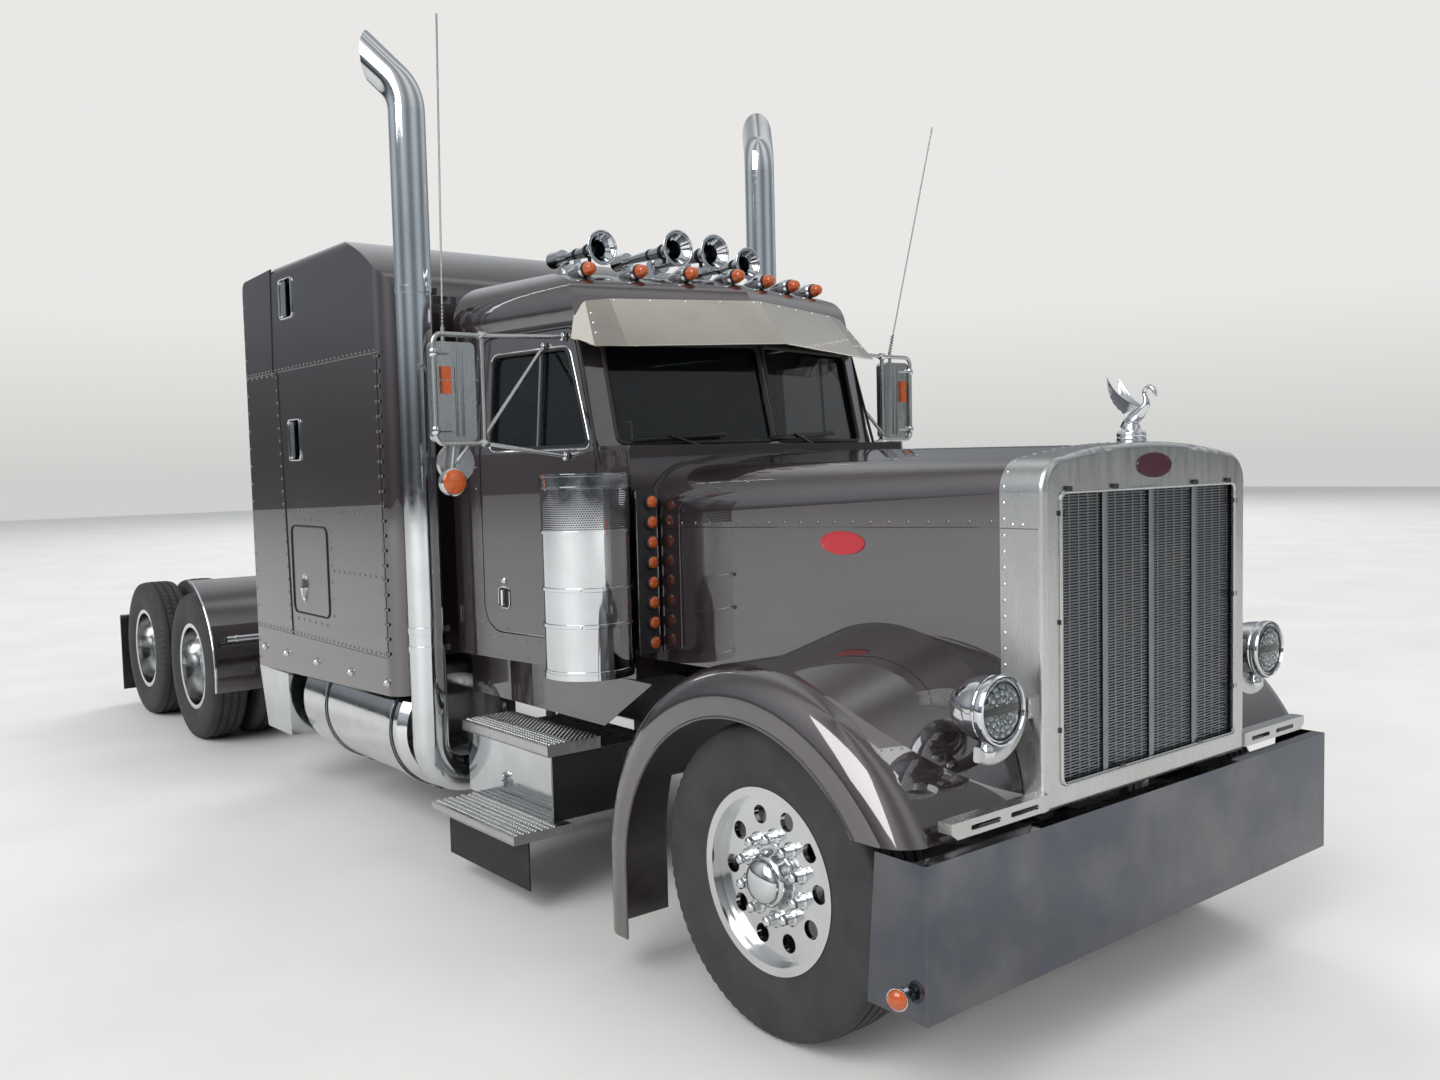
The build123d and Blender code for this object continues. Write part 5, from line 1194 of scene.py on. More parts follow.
# %% Cowl lamps
COWL_LAMP_X, COWL_LAMP_Y = 2.832, 0.790
COWL_LAMP_Z = 1.225 + 0.086 * np.arange(8)
for side, sign in SIDES:
    spots = np.stack([np.full(8, COWL_LAMP_X), np.full(8, sign * COWL_LAMP_Y), COWL_LAMP_Z], 1)
    t = np.linspace(0, np.pi / 2, 7)
    facet = 0.0012 * np.cos(np.linspace(0, 3 * np.pi, 7))
    dome = np.stack([0.025 * np.cos(t), 0.018 + 0.011 * np.sin(t) + facet], 1)
    dome = np.concatenate([[(0, 0.014), (0.025, 0.014)], dome])
    ring = [(0.0245, 0.0), (0.032, 0.0), (0.033, 0.006), (0.030, 0.016), (0.0255, 0.018), (0.0245, 0.014),
            (0.0245, 0.0)]
    lenses = copies(lathe(dome, steps=24), spots, (1, 0, 0))
    rings = copies(lathe(ring, steps=24), spots, (1, 0, 0))
    piece(f"cowl_lamp_lenses_{side}", [lenses], AMBER, "chassis")
    piece(f"cowl_lamp_rings_{side}", [rings], DARK_TRIM, "chassis")
    y = sign * np.array([0.7575, 0.8635])
    edge = boxes(np.stack([np.full(2, 2.833), y, np.full(2, 1.53)], 1), [0.008, 0.005, 0.700])
    piece(f"cowl_plate_edges_{side}", [edge], CHROME, "chassis")
print("steps, tanks, cleaners and cowl lamps made")

# %% [markdown]
# The cab's skin leans in above the belt line and narrows towards the front, so one function gives the
# distance of the skin from the middle. Seals, handles and the window frame are placed with it.

# %% Cab sides: window frames, drip rails, handles and rivets
BELT_Z, SKIN_LEAN = 2.050, 0.045 / 0.590
WINDOW = [(2.505, 2.076), (2.336, 2.516), (1.772, 2.516), (1.772, 2.076)]
DOOR_LOW = 1.1925


def cab_skin(x, z):
    """Half width of the cab: 1.005 - 0.1208 (x - 1.450), less the lean of the side above the belt."""
    lean = SKIN_LEAN * np.clip(np.asarray(z) - BELT_Z, 0, 0.59)
    return 1.005 - 0.16 / 1.325 * (np.asarray(x) - 1.450) - lean


def on_cab(points_xz, sign, out=0.0):
    """Points (x, z) laid on the cab's side, `out` metres proud of it."""
    xz = np.asarray(points_xz, float)
    return np.stack([xz[:, 0], sign * (cab_skin(xz[:, 0], xz[:, 1]) + out), xz[:, 1]], 1)


def smooth_loop(corners, bend, steps=8):
    """A closed outline through rounded corners: it starts and ends halfway along the last edge."""
    corners = [np.asarray(c, float) for c in corners]
    start = (corners[-1] + corners[0]) / 2
    return arc_path([start, *corners, start], bend, steps)


def dense(path, pitch=0.03):
    """The same path with points at most `pitch` apart, so that it follows a curved skin."""
    out = [line(a, b, pitch)[:-1] for a, b in zip(path, path[1:]) if np.linalg.norm(b - a) > 1e-6]
    return np.concatenate(out + [path[-1:]])


def build_cab_side(side, sign):
    """Door glass frame, vent post, drip rail, handle, lock, hinges and rivets of one side."""
    door = f"door_{side}"
    window = dense(smooth_loop(WINDOW, 0.045))
    black = [tube(on_cab(window, sign, -0.001), 0.0085, 8, 0.8)]
    black.append(tube(on_cab(line((2.150, 2.080), (2.150, 2.512), 0.05), sign, -0.006), 0.0075, 8))
    trim_out = [[0.015, -0.014], [0.010, 0.014], [-0.014, 0.014], [-0.014, -0.014]]
    trim = dense(smooth_loop(np.array(WINDOW) + trim_out, 0.055))
    bright = [tube(on_cab(trim, sign, 0.0), 0.0032, 6)]
    bright.append(tube(on_cab(line((2.140, 2.080), (2.140, 2.512), 0.05), sign, 0.000), 0.0055, 8))
    corners = [(2.576, 1.990), (2.556, 2.060), (2.388, 2.628), (1.664, 2.628), (1.664, 2.300)]
    rail = dense(arc_path(corners, 0.05))
    drip = [tube(on_cab(rail, sign, 0.002), 0.0065, 8, 1.3)]
    handle = np.array([1.848, sign * 0.957, 1.362])
    normal = unit([0.1208, sign, 0.0])
    frame_loop = [(1.890, 1.412), (1.890, 1.312), (1.806, 1.312), (1.806, 1.412)]
    bright.append(tube(on_cab(smooth_loop(frame_loop, 0.022), sign, 0.002), 0.0042, 8))
    black.append(oval_plate(handle - normal * 0.001, normal, 0.086, 0.104, (1, -0.1208 * sign, 0)))
    pull = handle + normal * 0.010
    bright.append(tube(line(pull + [0.004, 0, 0.038], pull + [0.004, 0, -0.036], 0.01), 0.014, 14, 0.55))
    lock = [(0, 0), (0.016, 0), (0.016, 0.004), (0.011, 0.009), (0, 0.010)]
    bright.append(lathe(lock, handle + [0, 0, 0.082], normal, 24))
    strip = on_cab(line((1.830, DOOR_LOW + 0.004), (2.520, DOOR_LOW + 0.004), 0.1), sign, 0.0005)
    bright.append(tube(strip, 0.0036, 6))
    rivets = copies(RIVET, on_cab(line((1.76, 1.216), (2.52, 1.216), 0.105), sign), normal)
    ends = (((1.62, 1.170), (2.62, 1.170), 0.105), ((1.62, 1.086), (2.62, 1.086), 0.105),
            ((1.645, 1.25), (1.645, 2.52), 0.11), ((2.600, 1.25), (2.600, 1.95), 0.11))
    rows = [on_cab(line(*row), sign) for row in ends]
    piece(f"door_seals_{side}", black, BLACK_RUBBER, door)
    piece(f"door_brightwork_{side}", bright, CHROME, door)
    piece(f"door_rivets_{side}", [rivets], PAINT, door)
    fixed = [copies(RIVET, row, normal) for row in rows]
    piece(f"cab_rivets_{side}", fixed, PAINT, "chassis")
    piece(f"drip_rail_{side}", drip, BLACK_RUBBER, "chassis")
    hinges = [on_cab([[2.565, z + d] for d in (-0.045, 0.0, 0.045)], sign, 0.004) for z in (1.35, 1.90)]
    piece(f"door_hinges_{side}", [tube(h, 0.0075, 10) for h in hinges], PAINT, "chassis")


for side, sign in SIDES:
    build_cab_side(side, sign)

# %% [markdown]
# The windshield has two flat panes in black rubber gaskets, with two wipers parked along their foot. The
# visor above it is one bent sheet of polished stainless steel: rivets hold its end tabs, and its lower
# edge is rolled.

# %% Windshield gaskets, wipers and visor
PANE_Y, PANE_Z = (0.014, 0.755), (2.082, 2.530)


SCREEN_X, SCREEN_Z, SCREEN_RAKE, SCREEN_SWEEP = 2.770, 2.070, 0.253, 0.272


def on_windshield(y, z, out=0.0):
    """Points on the swept windshield plane x = 2.770 - 0.253 (z - 2.070) - 0.272 |y|,
    `out` metres in front of it."""
    y, z = np.asarray(y, float), np.asarray(z, float)
    x = SCREEN_X - SCREEN_RAKE * (z - SCREEN_Z) - SCREEN_SWEEP * np.abs(y) + out
    return np.stack([x, y + 0 * z, z + 0 * y], -1)


def build_windshield():
    """A gasket round each pane, the wiper arms and blades, and the pivots they turn on."""
    gaskets, wipers = [], []
    for _, sign in SIDES:
        (y0, y1), (z0, z1) = PANE_Y, PANE_Z
        loop = smooth_loop([(y1, z0), (y1, z1), (y0, z1), (y0, z0)], 0.035)
        gaskets.append(tube(on_windshield(sign * loop[:, 0], loop[:, 1], 0.0), 0.0105, 10))
    for pivot_y, tip_y in ((-0.36, -0.72), (0.30, -0.06)):
        y = np.linspace(pivot_y + (0.10 if tip_y < -0.5 else 0.20), tip_y + 0.02, 12)
        blade = on_windshield(y, 2.112 + 0.05 * (y - pivot_y), 0.022)
        wipers.append(tube(blade, 0.0065, 8, 1.6))
        ends = on_windshield([pivot_y, (pivot_y + tip_y) / 2], [2.050, 2.116], np.array([0.035, 0.036]))
        arm = line(*ends, 0.03)
        wipers.append(tube(arm, np.linspace(0.009, 0.0055, len(arm)), 8))
        pivot = [(0, -0.03), (0.016, -0.03), (0.016, 0.012), (0.010, 0.018), (0, 0.018)]
        wipers.append(lathe(pivot, ends[0], (0.97, 0, 0.25), 20))
    piece("windshield_gaskets", gaskets, BLACK_RUBBER, "chassis")
    piece("wipers", wipers, GLOSS_BLACK, "chassis")


def plane_point(a, b, c, y, z):
    """The point with the given y and z on the plane through a, b and c."""
    n = np.cross(np.subtract(b, a), np.subtract(c, a))
    return np.array([a[0] - (n[1] * (y - a[1]) + n[2] * (z - a[2])) / n[0], y, z])


def build_visor_trim():
    """Rivets on the end tabs and along the top edge, and a thin rolled bead on the lower edge."""
    rivets, beads = [], []
    fold_low, fold_top = np.array([2.850, 0, 2.525]), np.array([2.652, 0, 2.741])
    for _, sign in SIDES:
        low = np.array([2.620, sign * 0.731, 2.505])
        top = plane_point(fold_low, low, fold_top, sign * 0.690, 2.735)
        end_low = np.array([2.560, sign * 0.868, 2.507])
        end_top = plane_point(low, end_low, top, sign * 0.800, 2.722)
        normal = unit(np.cross(low - fold_low, fold_top - fold_low))
        normal = normal * np.sign(normal[0])
        proud = unit([0.74, 0, 0.67]) * 0.0052
        row = line(fold_top * 0.97 + low * 0.03, top * 0.97 + fold_low * 0.03, 0.17)
        rivets.append(copies(RIVET, row + proud, normal))
        end_normal = unit(np.cross(end_low - low, top - low))
        end_normal = end_normal * np.sign(end_normal[0])
        tabs = [(end_low * a + end_top * (1 - a)) * 0.86 + (low * a + top * (1 - a)) * 0.14
                for a in (0.72, 0.5, 0.28)]
        rivets.append(copies(RIVET, np.array(tabs) + proud, end_normal))
        edge = np.concatenate([line(fold_low, low, 0.1), line(low, end_low, 0.05)[1:]])
        beads.append(tube(edge + proud * 0.5, 0.0042, 8))
    piece("visor_rivets", rivets, CHROME, "chassis")
    piece("visor_bead", beads, VISOR_PAINTED_WARM_REFLECTION, "chassis")


build_windshield()
build_visor_trim()

# %% [markdown]
# Seven torpedo lamps stand along the roof's front edge. Each chrome body ends in a dark rubber ring and
# an amber dome with moulded facets. The horns behind them are dark inside, as painted shade of the deep
# bell, with a bright rolled lip.

# %% Roof lamps and horns
ROOF_LAMPS = ((0.0, 2.493, 2.881), (0.241, 2.440, 2.881), (0.479, 2.365, 2.883), (0.713, 2.284, 2.887))
HORNS = ((0.117, 2.196, 3.048, 0.080), (0.465, 2.047, 3.043, 0.074))

HORN_BAND = [(-0.004, -0.009), (0.003, -0.008), (0.003, 0.008), (-0.004, 0.009), (-0.004, -0.009)]


def build_roof_trim():
    """Domes and rings on every roof lamp; throats, lips and clamps on every horn."""
    spots = np.array([(x, s * y, z) for y, x, z in ROOF_LAMPS for s in ((-1, 1) if y else (1,))])
    t = np.linspace(0, np.pi / 2, 12)
    wave = 0.0012 * np.sin(np.linspace(0, 5 * np.pi, 12))
    dome = np.stack([0.0315 * np.cos(t) ** 0.85 + wave * np.cos(t), 0.008 + 0.050 * np.sin(t)], 1)
    dome = np.concatenate([[(0, 0.001), (0.0315, 0.001)], dome])
    ring = [(0.026, -0.004), (0.0345, -0.004), (0.0355, 0.002), (0.0345, 0.009), (0.0312, 0.010),
            (0.026, 0.004), (0.026, -0.004)]
    domes = copies(lathe(dome, steps=28), spots, (1, 0, 0))
    rings = copies(lathe(ring, steps=28), spots, (1, 0, 0))
    piece("roof_lamp_domes", [domes], AMBER, "chassis", sharp=50)
    piece("roof_lamp_rings", [rings], GLOSS_BLACK, "chassis")
    throats, lips, clamps = [], [], []
    for y, x, z, r in HORNS:
        for s in (-1, 1):
            centre = (x, s * y, z)
            k = np.linspace(0, 1, 14)
            inner = np.stack([(r - 0.0085) * (0.34 + 0.66 * (1 - k) ** 2.2), -0.005 - 0.150 * k], 1)
            throats.append(lathe(np.concatenate([inner, [(0, -0.156)]]), centre, (1, 0, 0), 48))
            a = np.linspace(0, 2 * np.pi, 12)
            flare = [(r - 0.006, -0.030), (r + 0.001, -0.016), (r + 0.006, -0.004)]
            roll = np.stack([r + 0.007 + 0.004 * np.cos(a - 2.4), 0.004 * np.sin(a - 2.4)], 1)
            inside = [(r - 0.001, -0.006), (r - 0.006, -0.018), (r - 0.0075, -0.030), (r - 0.006, -0.030)]
            lips.append(lathe(np.concatenate([flare, roll[1:-2], inside]), centre, (1, 0, 0), 48))
            for d, band_r in ((-0.118, 0.42 * r + 0.002), (-0.230, 0.32 * r + 0.002)):
                band = np.array(HORN_BAND) + [band_r, d]
                clamps.append(lathe(band, centre, (1, 0, 0), 32))
                clamps.append(boxes([(x + d, s * y, z - band_r - 0.010)], [0.016, 0.012, 0.026]))
    # The throats' dark metal is painted shade inside each bell.
    piece("horn_throats", throats, DARK_METAL_AND_THROAT_SHADE, "chassis")
    piece("horn_lips", lips, CHROME, "chassis")
    piece("horn_clamps", clamps, GLOSS_BLACK, "chassis")


build_roof_trim()

# %% [markdown]
# Each mirror head is a stainless box with two pressed flutes, a marker lamp on its face and the silvered
# glass on its back. Under it hang a round mirror and an amber lamp in a chrome cup.

# %% Mirrors
MIRROR_X, MIRROR_Y, MIRROR_Z = (2.190, 2.252), (1.285, 1.480), (2.105, 2.530)


def build_mirror(side, sign):
    """Glass, flutes, marker, clamps, the round mirror's glass and bolt, and the lens of the lamp."""
    body = f"door_{side}"
    middle_y, middle_z = sign * sum(MIRROR_Y) / 2, sum(MIRROR_Z) / 2
    glass = [boxes([(MIRROR_X[0] - 0.0008, middle_y, middle_z)], [0.003, 0.165, 0.385])]
    bulge = [(0, 0), (0.078, 0), (0.070, 0.006), (0.040, 0.012), (0, 0.014)]
    glass.append(lathe(bulge, (2.201, sign * 1.375, 2.012), (-1, 0, 0), 48))
    bright = [tube(line((MIRROR_X[1], sign * y, 2.125), (MIRROR_X[1], sign * y, 2.510), 0.2), 0.007, 8, 0.5)
              for y in (1.350, 1.378)]
    clamp = [(0, -0.016), (0.016, -0.016), (0.018, -0.012), (0.018, 0.012), (0.016, 0.016), (0, 0.016)]
    for z in (2.150, 2.480):
        bright.append(lathe(clamp, (2.262, sign * 1.484, z), (0, 0, 1), 20))
    clamp = [(0, -0.018), (0.017, -0.018), (0.019, -0.012), (0.019, 0.012), (0.017, 0.018), (0, 0.018)]
    for z in (2.093, 2.560):
        bright.append(lathe(clamp, (2.262, sign * 1.255, z), (0, 1, 0), 20))
    for foot in ((2.316, 0.861, 2.569), (2.362, 0.895, 2.032), (2.175, 0.881, 2.535)):
        place = np.array(foot) * [1, sign, 1] + [0, sign * 0.014, 0]
        boss = [(0.010, -0.002), (0.021, 0), (0.020, 0.006), (0.013, 0.010), (0, 0.012)]
        bright.append(lathe(boss, place, (0, sign, 0.08), 24))
    cup = [(0, -0.030), (0.020, -0.030), (0.046, -0.012), (0.058, 0.004), (0.060, 0.010),
           (0.055, 0.012), (0, 0.011)]
    lamp = np.array([2.282, sign * 1.423, 1.930])
    bright.append(lathe(cup, lamp, (1, 0, 0), 48))
    bolt = [(0, -0.002), (0.014, 0), (0.012, 0.006), (0, 0.007)]
    bright.append(lathe(bolt, (2.228, sign * 1.375, 2.012), (1, 0, 0), 20))
    marker = np.array([MIRROR_X[1] + 0.006, sign * 1.428, 2.3655])
    amber = [boxes([marker + [0, 0, dz] for dz in (-0.030, 0.030)], [0.016, 0.042, 0.056])]
    t = np.linspace(0, np.pi / 2, 10)
    dome = np.stack([0.054 * np.cos(t), 0.012 + 0.018 * np.sin(t)], 1)
    dome = np.concatenate([[(0, 0.008), (0.054, 0.008)], dome])
    amber.append(lathe(dome, lamp, (1, 0, 0), 48))
    piece(f"mirror_glass_{side}", glass, MIRROR_GLASS, body)
    piece(f"mirror_trim_{side}", bright, CHROME, body)
    piece(f"mirror_ambers_{side}", amber, AMBER, body)
    spring_z = np.linspace(2.600, 2.690, 60)
    turn = np.linspace(0, 12 * np.pi, 60)
    x = 2.189 + 0.2 * (spring_z - 2.6) + 0.009 * np.cos(turn)
    y = sign * (1.400 + 0.08 * (spring_z - 2.6)) + 0.009 * np.sin(turn)
    coil = np.stack([x, y, spring_z], 1)
    piece(f"aerial_spring_{side}", [tube(coil, 0.0022, 6)], GLOSS_BLACK, body)


for side, sign in SIDES:
    build_mirror(side, sign)
print("cab trim made")

# %% [markdown]
# The sleeper's side is riveted sheet. Rows of small domed rivets follow each seam, and a dark groove
# parts the box from the wing behind it. The groove jogs where the upper and the lower sheets meet.

# %% Sleeper sides
SLEEPER_Y, SEAM_Z, FLOOR_Z = 1.209, 2.594, 1.004
GROOVE = [(-0.451, 3.214), (-0.482, 2.596), (-0.406, 2.592), (-0.393, 2.300), (-0.333, 1.006)]
SLOTS = ((-0.310, -0.110, 2.900, 3.130), (-0.250, -0.070, 2.060, 2.300))
LUGGAGE = (-0.285, 0.270, 1.150, 1.670)
SKIRT_LAMPS_X = (-0.852, -0.459, 0.040, 0.541, 1.026)
SKIRT_LAMP = lathe([(0, -0.002), (0.024, -0.002), (0.024, 0.004), (0.019, 0.006),
                    (0.018, 0.010), (0.015, 0.018), (0.008, 0.023), (0, 0.0245)], steps=24)
DOME_RIVET = lathe([(0, -0.002), (0.0095, -0.002), (0.0092, 0.001), (0.0065, 0.0042),
                    (0, 0.0054)], steps=10)


def on_side(points_xz, sign, out=0.0):
    """Points (x, z) laid on the sleeper's flat side, `out` metres proud of it."""
    xz = np.asarray(points_xz, float)
    return np.stack([xz[:, 0], np.full(len(xz), sign * (SLEEPER_Y + out)), xz[:, 1]], 1)


def rivet_rows():
    """Every row of rivets on one side, as (x, z) points: along the seams,
    beside the groove and round the door."""
    x0, x1, z0, z1 = LUGGAGE
    above, below, floor = SEAM_Z + 0.013, SEAM_Z - 0.014, FLOOR_Z + 0.018
    # each row: its first point, its last point and the pitch
    rows = (
        ((-0.960, above), (1.020, above), 0.058),
        ((1.022, 1.03), (1.022, SEAM_Z - 0.02), 0.078),
        ((1.060, 1.03), (1.060, SEAM_Z - 0.02), 0.078),
        ((-0.440, SEAM_Z - 0.03), (-0.366, 1.03), 0.078),
        ((-0.960, floor), (1.000, floor), 0.058),
        ((-0.330, 1.760), (0.960, 1.760), 0.060),
        ((-0.960, below), (-0.500, below), 0.090),
        ((-0.955, 0.80), (-0.955, 3.15), 0.110),
        ((x0 + 0.05, z1 + 0.040), (x1 - 0.05, z1 + 0.040), 0.090),
        ((x0 + 0.05, z0 - 0.040), (x1 - 0.05, z0 - 0.040), 0.090),
        ((x1 + 0.055, z0 + 0.02), (x1 + 0.055, z1 - 0.02), 0.100),
        ((x1 + 0.090, 1.430), (1.000, 1.430), 0.075),
    )
    return [line(*row) for row in rows]


def build_sleeper_side(side, sign):
    """Rivets, the seam and the groove, frames and half-open panes of the slots,
    and the marker lamps of the skirt."""
    outward = (0, sign, 0)
    rivets = [copies(DOME_RIVET, on_side(row, sign), outward) for row in rivet_rows()]
    seams = [tube(on_side(line((-0.974, SEAM_Z), (1.092, SEAM_Z), 0.3), sign, 0.0002), 0.0022, 6)]
    seams.append(tube(on_side(line((-0.974, FLOOR_Z), (1.020, FLOOR_Z), 0.3), sign, 0.0), 0.0026, 6))
    seams.append(tube(on_side(line((1.044, 1.010), (1.044, SEAM_Z), 0.3), sign, 0.0), 0.0022, 6))
    groove = dense(arc_path([np.array(p) for p in GROOVE], 0.018, 6), 0.2)
    dark = [tube(on_side(groove, sign, -0.0005), 0.0062, 8, 0.35)]
    frames, panes = [], []
    for x0, x1, z0, z1 in SLOTS:
        corners = [(x1, z0), (x1, z1), (x0, z1), (x0, z0)]
        frames.append(tube(on_side(smooth_loop(corners, 0.028), sign, 0.001), 0.0085, 10, 0.7))
        middle = (x0 + x1) / 2
        panes.append(boxes([((x0 + middle) / 2 + 0.002, sign * (SLEEPER_Y - 0.004), (z0 + z1) / 2)],
                           [middle - x0 - 0.014, 0.006, z1 - z0 - 0.022]))
        post = (middle + 0.002, sign * (SLEEPER_Y - 0.002), (z0 + z1) / 2)
        frames.append(boxes([post], [0.010, 0.012, z1 - z0 - 0.02]))
    piece(f"sleeper_rivets_{side}", rivets + seams, PAINT, "chassis")
    piece(f"sleeper_groove_{side}", dark, BLACK_RUBBER, "chassis")
    piece(f"slot_frames_{side}", frames, CHROME, "chassis")
    piece(f"slot_shades_{side}", panes, SATIN, "chassis")
    lamps = np.array([(x, sign * SLEEPER_Y, 0.877) for x in SKIRT_LAMPS_X])
    piece(f"skirt_lamps_{side}", [copies(SKIRT_LAMP, lamps, outward)], CHROME, "chassis")


def build_luggage_trim(side, sign):
    """The fat rubber seal round the luggage door, and its chrome paddle in a riveted pan."""
    x0, x1, z0, z1 = LUGGAGE
    corners = [(x1, z0), (x1, z1), (x0, z1), (x0, z0)]
    seal = tube(on_side(smooth_loop(corners, 0.056), sign, 0.000), 0.0075, 10, 0.75)
    outward = np.array([0, sign, 0])
    pan = np.array([-0.109, sign * (SLEEPER_Y + 0.0005), 1.300])
    plate = oval_plate(pan, outward, 0.070, 0.165, (1, 0, 0))
    grip = line(pan + outward * 0.010 + [0, 0, 0.058], pan + outward * 0.010 + [0, 0, -0.058], 0.01)
    swell = np.interp(np.linspace(-1, 1, len(grip)), [-1, 0, 1], [0.008, 0.017, 0.008])
    paddle = tube(grip, swell, 14, 0.5)
    spots = pan + np.array([(0, 0, 0.088), (0, 0, -0.088), (0.040, 0, 0), (-0.040, 0, 0)])
    body = f"luggage_door_{side}"
    piece(f"luggage_seal_{side}", [seal], BLACK_RUBBER, body)
    piece(f"luggage_latch_{side}", [plate, paddle, copies(RIVET, spots, outward)], CHROME, body)


for side, sign in SIDES:
    build_sleeper_side(side, sign)
    build_luggage_trim(side, sign)

# %% [markdown]
# The exhaust stacks are polished pipes of one diameter, joined by sleeves under band clamps. A clamp is
# a flat band of rolled steel, and its bolt block stands on the hidden side.

# %% Exhaust stack clamps
STACK_X, STACK_Y, STACK_R = 1.376, 1.144, 0.089
CLAMPS_Z = (1.090, 1.184, 2.870)


def build_stack_trim(side, sign):
    """Band clamps, each with its bolt block on the side of the cab."""
    bands, blocks = [], []
    for z in CLAMPS_Z:
        band = [(STACK_R - 0.003, z - 0.018), (STACK_R + 0.0035, z - 0.016), (STACK_R + 0.0035, z + 0.016),
                (STACK_R - 0.003, z + 0.018), (STACK_R - 0.003, z - 0.018)]
        bands.append(lathe(band, (STACK_X, sign * STACK_Y, 0), (0, 0, 1), 72))
        inward = np.array([0.35, -sign, 0])
        block = np.array([STACK_X, sign * STACK_Y, z]) + unit(inward) * (STACK_R + 0.012)
        blocks.append(boxes([block], [0.030, 0.030, 0.022], axes_from(unit(inward))))
    piece(f"stack_clamps_{side}", bands, CHROME, "chassis")
    piece(f"stack_brackets_{side}", blocks, CHASSIS, "chassis")


for side, sign in SIDES:
    build_stack_trim(side, sign)
print("sleeper and stacks made")

# %% [markdown]
# The back of the truck is working metal: rails with rows of bolt heads, a greased fifth wheel, rubber
# mud flaps with stiffening ribs, and round red lamps in a bright panel.

# %% Frame bolts, rear fenders, mud flaps and tail lamps
HEX_BOLT = merge([
    lathe([(0, -0.001), (0.0135, -0.001), (0.0135, 0.002), (0, 0.002)], steps=12),
    lathe([(0, 0.002), (0.010, 0.002), (0.010, 0.009), (0.0085, 0.0105), (0, 0.0105)], steps=12, sides=6),
])
RAIL_Y, ARM_X, ARM_Z = 0.430, -1.846, 0.815
FLAP_RIB_X, TAIL_LAMPS_Y, TAIL_LAMP_Z = -4.5645, (0.490, 0.595), 0.850


def build_frame_bolts():
    """Bolt heads in pairs on the outside of each rail, near every crossmember,
    and a row along each rail over the tandem."""
    bolts = []
    for _, sign in SIDES:
        for x in (-4.60, -3.21, -1.90, -0.70):
            spots = [(x + dx, sign * RAIL_Y, z) for dx in (-0.045, 0.045) for z in (0.790, 0.865, 0.940)]
            bolts.append(copies(HEX_BOLT, spots, (0, sign, 0)))
        row = line((-3.50, sign * RAIL_Y, 0.970), (-2.60, sign * RAIL_Y, 0.970), 0.15)
        bolts.append(copies(HEX_BOLT, row, (0, sign, 0)))
    piece("frame_bolts", bolts, CHASSIS, "chassis")


def build_rear_fender_trim(side, sign):
    """A rolled bright edge along the quarter fender, and the tube arm with its band and rubber plug."""
    a = np.radians(np.linspace(-10.0, 80.5, 40))
    axle_x, r = DRIVE_AXLES_X[0], 0.6665
    edge = np.stack([axle_x + r * np.cos(a), np.full(40, sign * 1.225), WHEEL_Z + r * np.sin(a)], 1)
    bright = [tube(edge, 0.0085, 10)]
    arm = line((ARM_X, sign * 0.640, ARM_Z), (ARM_X, sign * 1.150, ARM_Z), 0.1)
    bright.append(tube(arm, 0.021, 20))
    band = [(0.020, -0.012), (0.025, -0.011), (0.025, 0.011), (0.020, 0.012), (0.020, -0.012)]
    bright.append(lathe(band, (ARM_X, sign * 1.085, ARM_Z), (0, 1, 0), 24))
    bright.append(boxes([(-1.868, sign * y, ARM_Z) for y in (0.80, 1.085)], [0.040, 0.030, 0.016]))
    piece(f"fender_arm_{side}", bright, CHROME, "chassis")
    profile = [(0, 0), (0.022, 0), (0.022, 0.014), (0.016, 0.020), (0, 0.020)]
    plug = lathe(profile, (ARM_X, sign * 1.150, ARM_Z), (0, sign, 0), 24)
    piece(f"fender_arm_plug_{side}", [plug], BLACK_RUBBER, "chassis")


def build_flap_and_lamps(side, sign):
    """Moulded ribs and a bright weight on the mud flap;
    ribbed red lenses in bright rings on the lamp bar."""
    ribs = [tube(line((FLAP_RIB_X, sign * y, 0.16), (FLAP_RIB_X, sign * y, 0.66), 0.25), 0.0040, 6, 0.6)
            for y in np.linspace(0.69, 1.17, 9)]
    piece(f"flap_ribs_{side}", ribs, BLACK_RUBBER, "chassis")
    weight = [boxes([(-4.566, sign * 0.9275, 0.150)], [0.008, 0.560, 0.045])]
    for y in np.linspace(0.68, 1.18, 6):
        weight.append(copies(HEX_BOLT, [(-4.561, sign * y, 0.715)], (-1, 0, 0)))
    piece(f"flap_weight_{side}", weight, CHROME, "chassis")
    bar = [boxes([(-4.741, sign * 0.540, TAIL_LAMP_Z)], [0.006, 0.220, 0.140])]
    lenses = []
    for y in TAIL_LAMPS_Y:
        centre = np.array([-4.744, sign * y, TAIL_LAMP_Z])
        body = [(0, 0.004), (0.044, 0.004), (0.044, 0.030), (0.032, 0.038), (0, 0.038)]
        ring = [(0.040, 0.000), (0.049, 0.000), (0.048, 0.004), (0.0425, 0.0052),
                (0.040, 0.003), (0.040, 0.000)]
        bar += [lathe(body, centre, (1, 0, 0), 40), lathe(ring, centre, (-1, 0, 0), 40)]
        t = np.linspace(0, np.pi / 2, 8)
        dome = np.stack([0.0405 * np.cos(t), 0.0005 + 0.0052 * np.sin(t)], 1)
        dome = np.concatenate([[(0, -0.001), (0.0405, -0.001)], dome])
        lenses.append(lathe(dome, centre, (-1, 0, 0), 40))
    replaced = ["tail_lamps"] if side == "right" else []
    piece(f"tail_lamp_bar_{side}", bar, CHROME, "chassis", replaced)
    piece(f"tail_lamp_lenses_{side}", lenses, RED_LENS, "chassis")


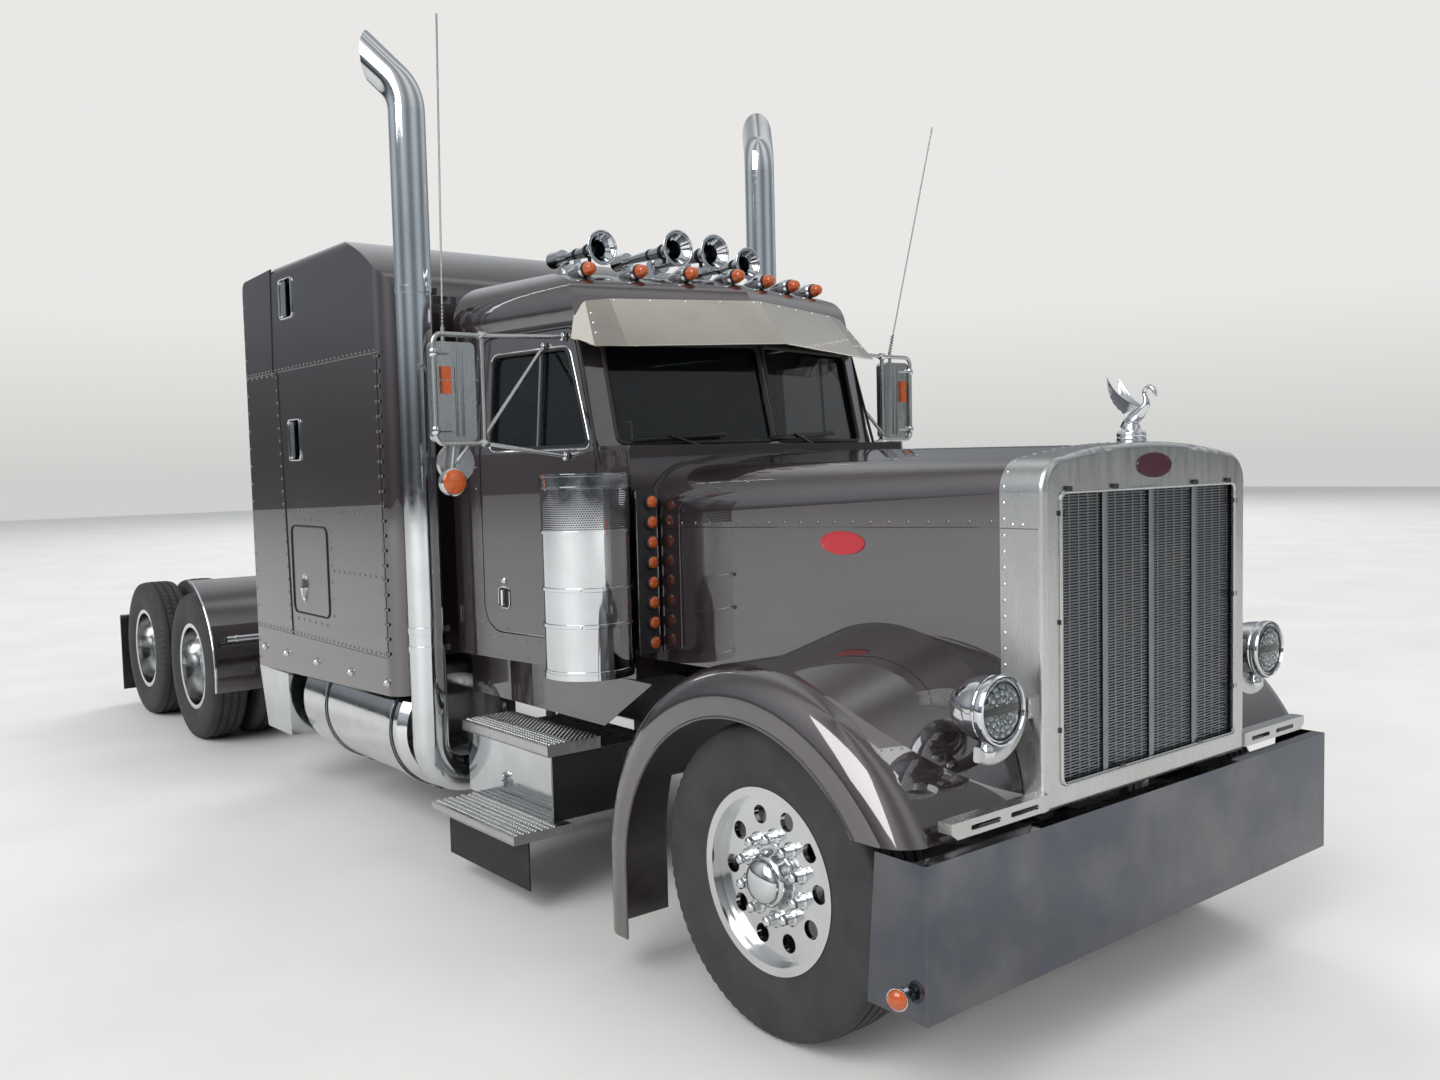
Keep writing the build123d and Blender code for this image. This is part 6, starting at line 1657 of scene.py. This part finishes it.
def build_fifth_wheel_grease():
    """Grease grooves pressed into the coupling plate: thin dark bars that turn with it."""
    bars = []
    for sign in (-1, 1):
        for x0, x1, y in ((-3.28, -2.86, 0.17), (-3.24, -2.90, 0.27), (-3.20, -2.94, 0.36)):
            path = line((x0, sign * y, 1.2302), (x1, sign * (y * 0.96), 1.2302), 0.1)
            bars.append(tube(path, 0.0045, 6, 0.3))
    piece("fifth_wheel_grease", bars, BLACK_RUBBER, "fifth_wheel")


build_frame_bolts()
build_fifth_wheel_grease()
for side, sign in SIDES:
    build_rear_fender_trim(side, sign)
    build_flap_and_lamps(side, sign)

# %% [markdown]
# Two seats fill the cab. A cushion is a rounded block that swells between its seams: its cross-section
# is a superellipse, and a crown is added where the stuffing is deepest.

# %% Seats


def cushion(low, high, crown, axis, channels):
    """Superellipsoid |x|^p + |y|^p + |z|^p = 1 in a box, crowned along `axis`,
    with shallow sewn channels across it."""
    low, high = np.asarray(low, float), np.asarray(high, float)
    u = np.linspace(-np.pi / 2, np.pi / 2, 41)[:, None]
    v = np.linspace(-np.pi, np.pi, 96, endpoint=False)[None]

    def power(c, e=0.32):
        """The signed power that squares a circle into a superellipse."""
        return np.sign(c) * np.abs(c) ** e

    ring = power(np.cos(u))
    shape = np.stack([ring * power(np.cos(v)), ring * power(np.sin(v)), power(np.sin(u)) + 0 * v], -1)
    points = (low + high) / 2 + shape * (high - low) / 2
    across = [i for i in range(3) if i != axis]
    dome = (1 - shape[..., across[0]] ** 2) * (1 - shape[..., across[1]] ** 2)
    seam = np.abs(np.sin(np.pi * channels * (shape[..., 1] + 1) / 2)) ** 0.35 if channels else 1.0
    edge = np.clip(dome * 6, 0, 1)
    points[..., axis] += np.sign(shape[..., axis]) * (crown * dome - 0.006 * edge * (1 - seam))
    return grid(points, close_v=True)


def build_seats():
    """Cushion, back and headrest of each seat, and the pedestals."""
    pads, bases = [], []
    for _, sign in SIDES:
        y = sign * 0.480
        pads.append(cushion((1.755, y - 0.245, 1.505), (2.225, y + 0.245, 1.632), 0.012, 2, 5))
        pads.append(cushion((1.665, y - 0.232, 1.605), (1.772, y + 0.232, 2.175), 0.012, 0, 5))
        pads.append(cushion((1.675, y - 0.130, 2.185), (1.765, y + 0.130, 2.325), 0.008, 0, 0))
        bases.append(boxes([(1.980, y, 1.310)], [0.300, 0.280, 0.372]))
        bases.append(boxes([(1.990, y, 1.4985)], [0.440, 0.440, 0.006]))
    piece("seat_pads", pads, SEAT_CLOTH, "chassis", ["seats"])
    piece("seat_bases", bases, DARK_TRIM, "chassis")


build_seats()
print("rear and cabin made")

# %% View transform, and the end
bpy.context.scene.view_settings.view_transform = "Standard"
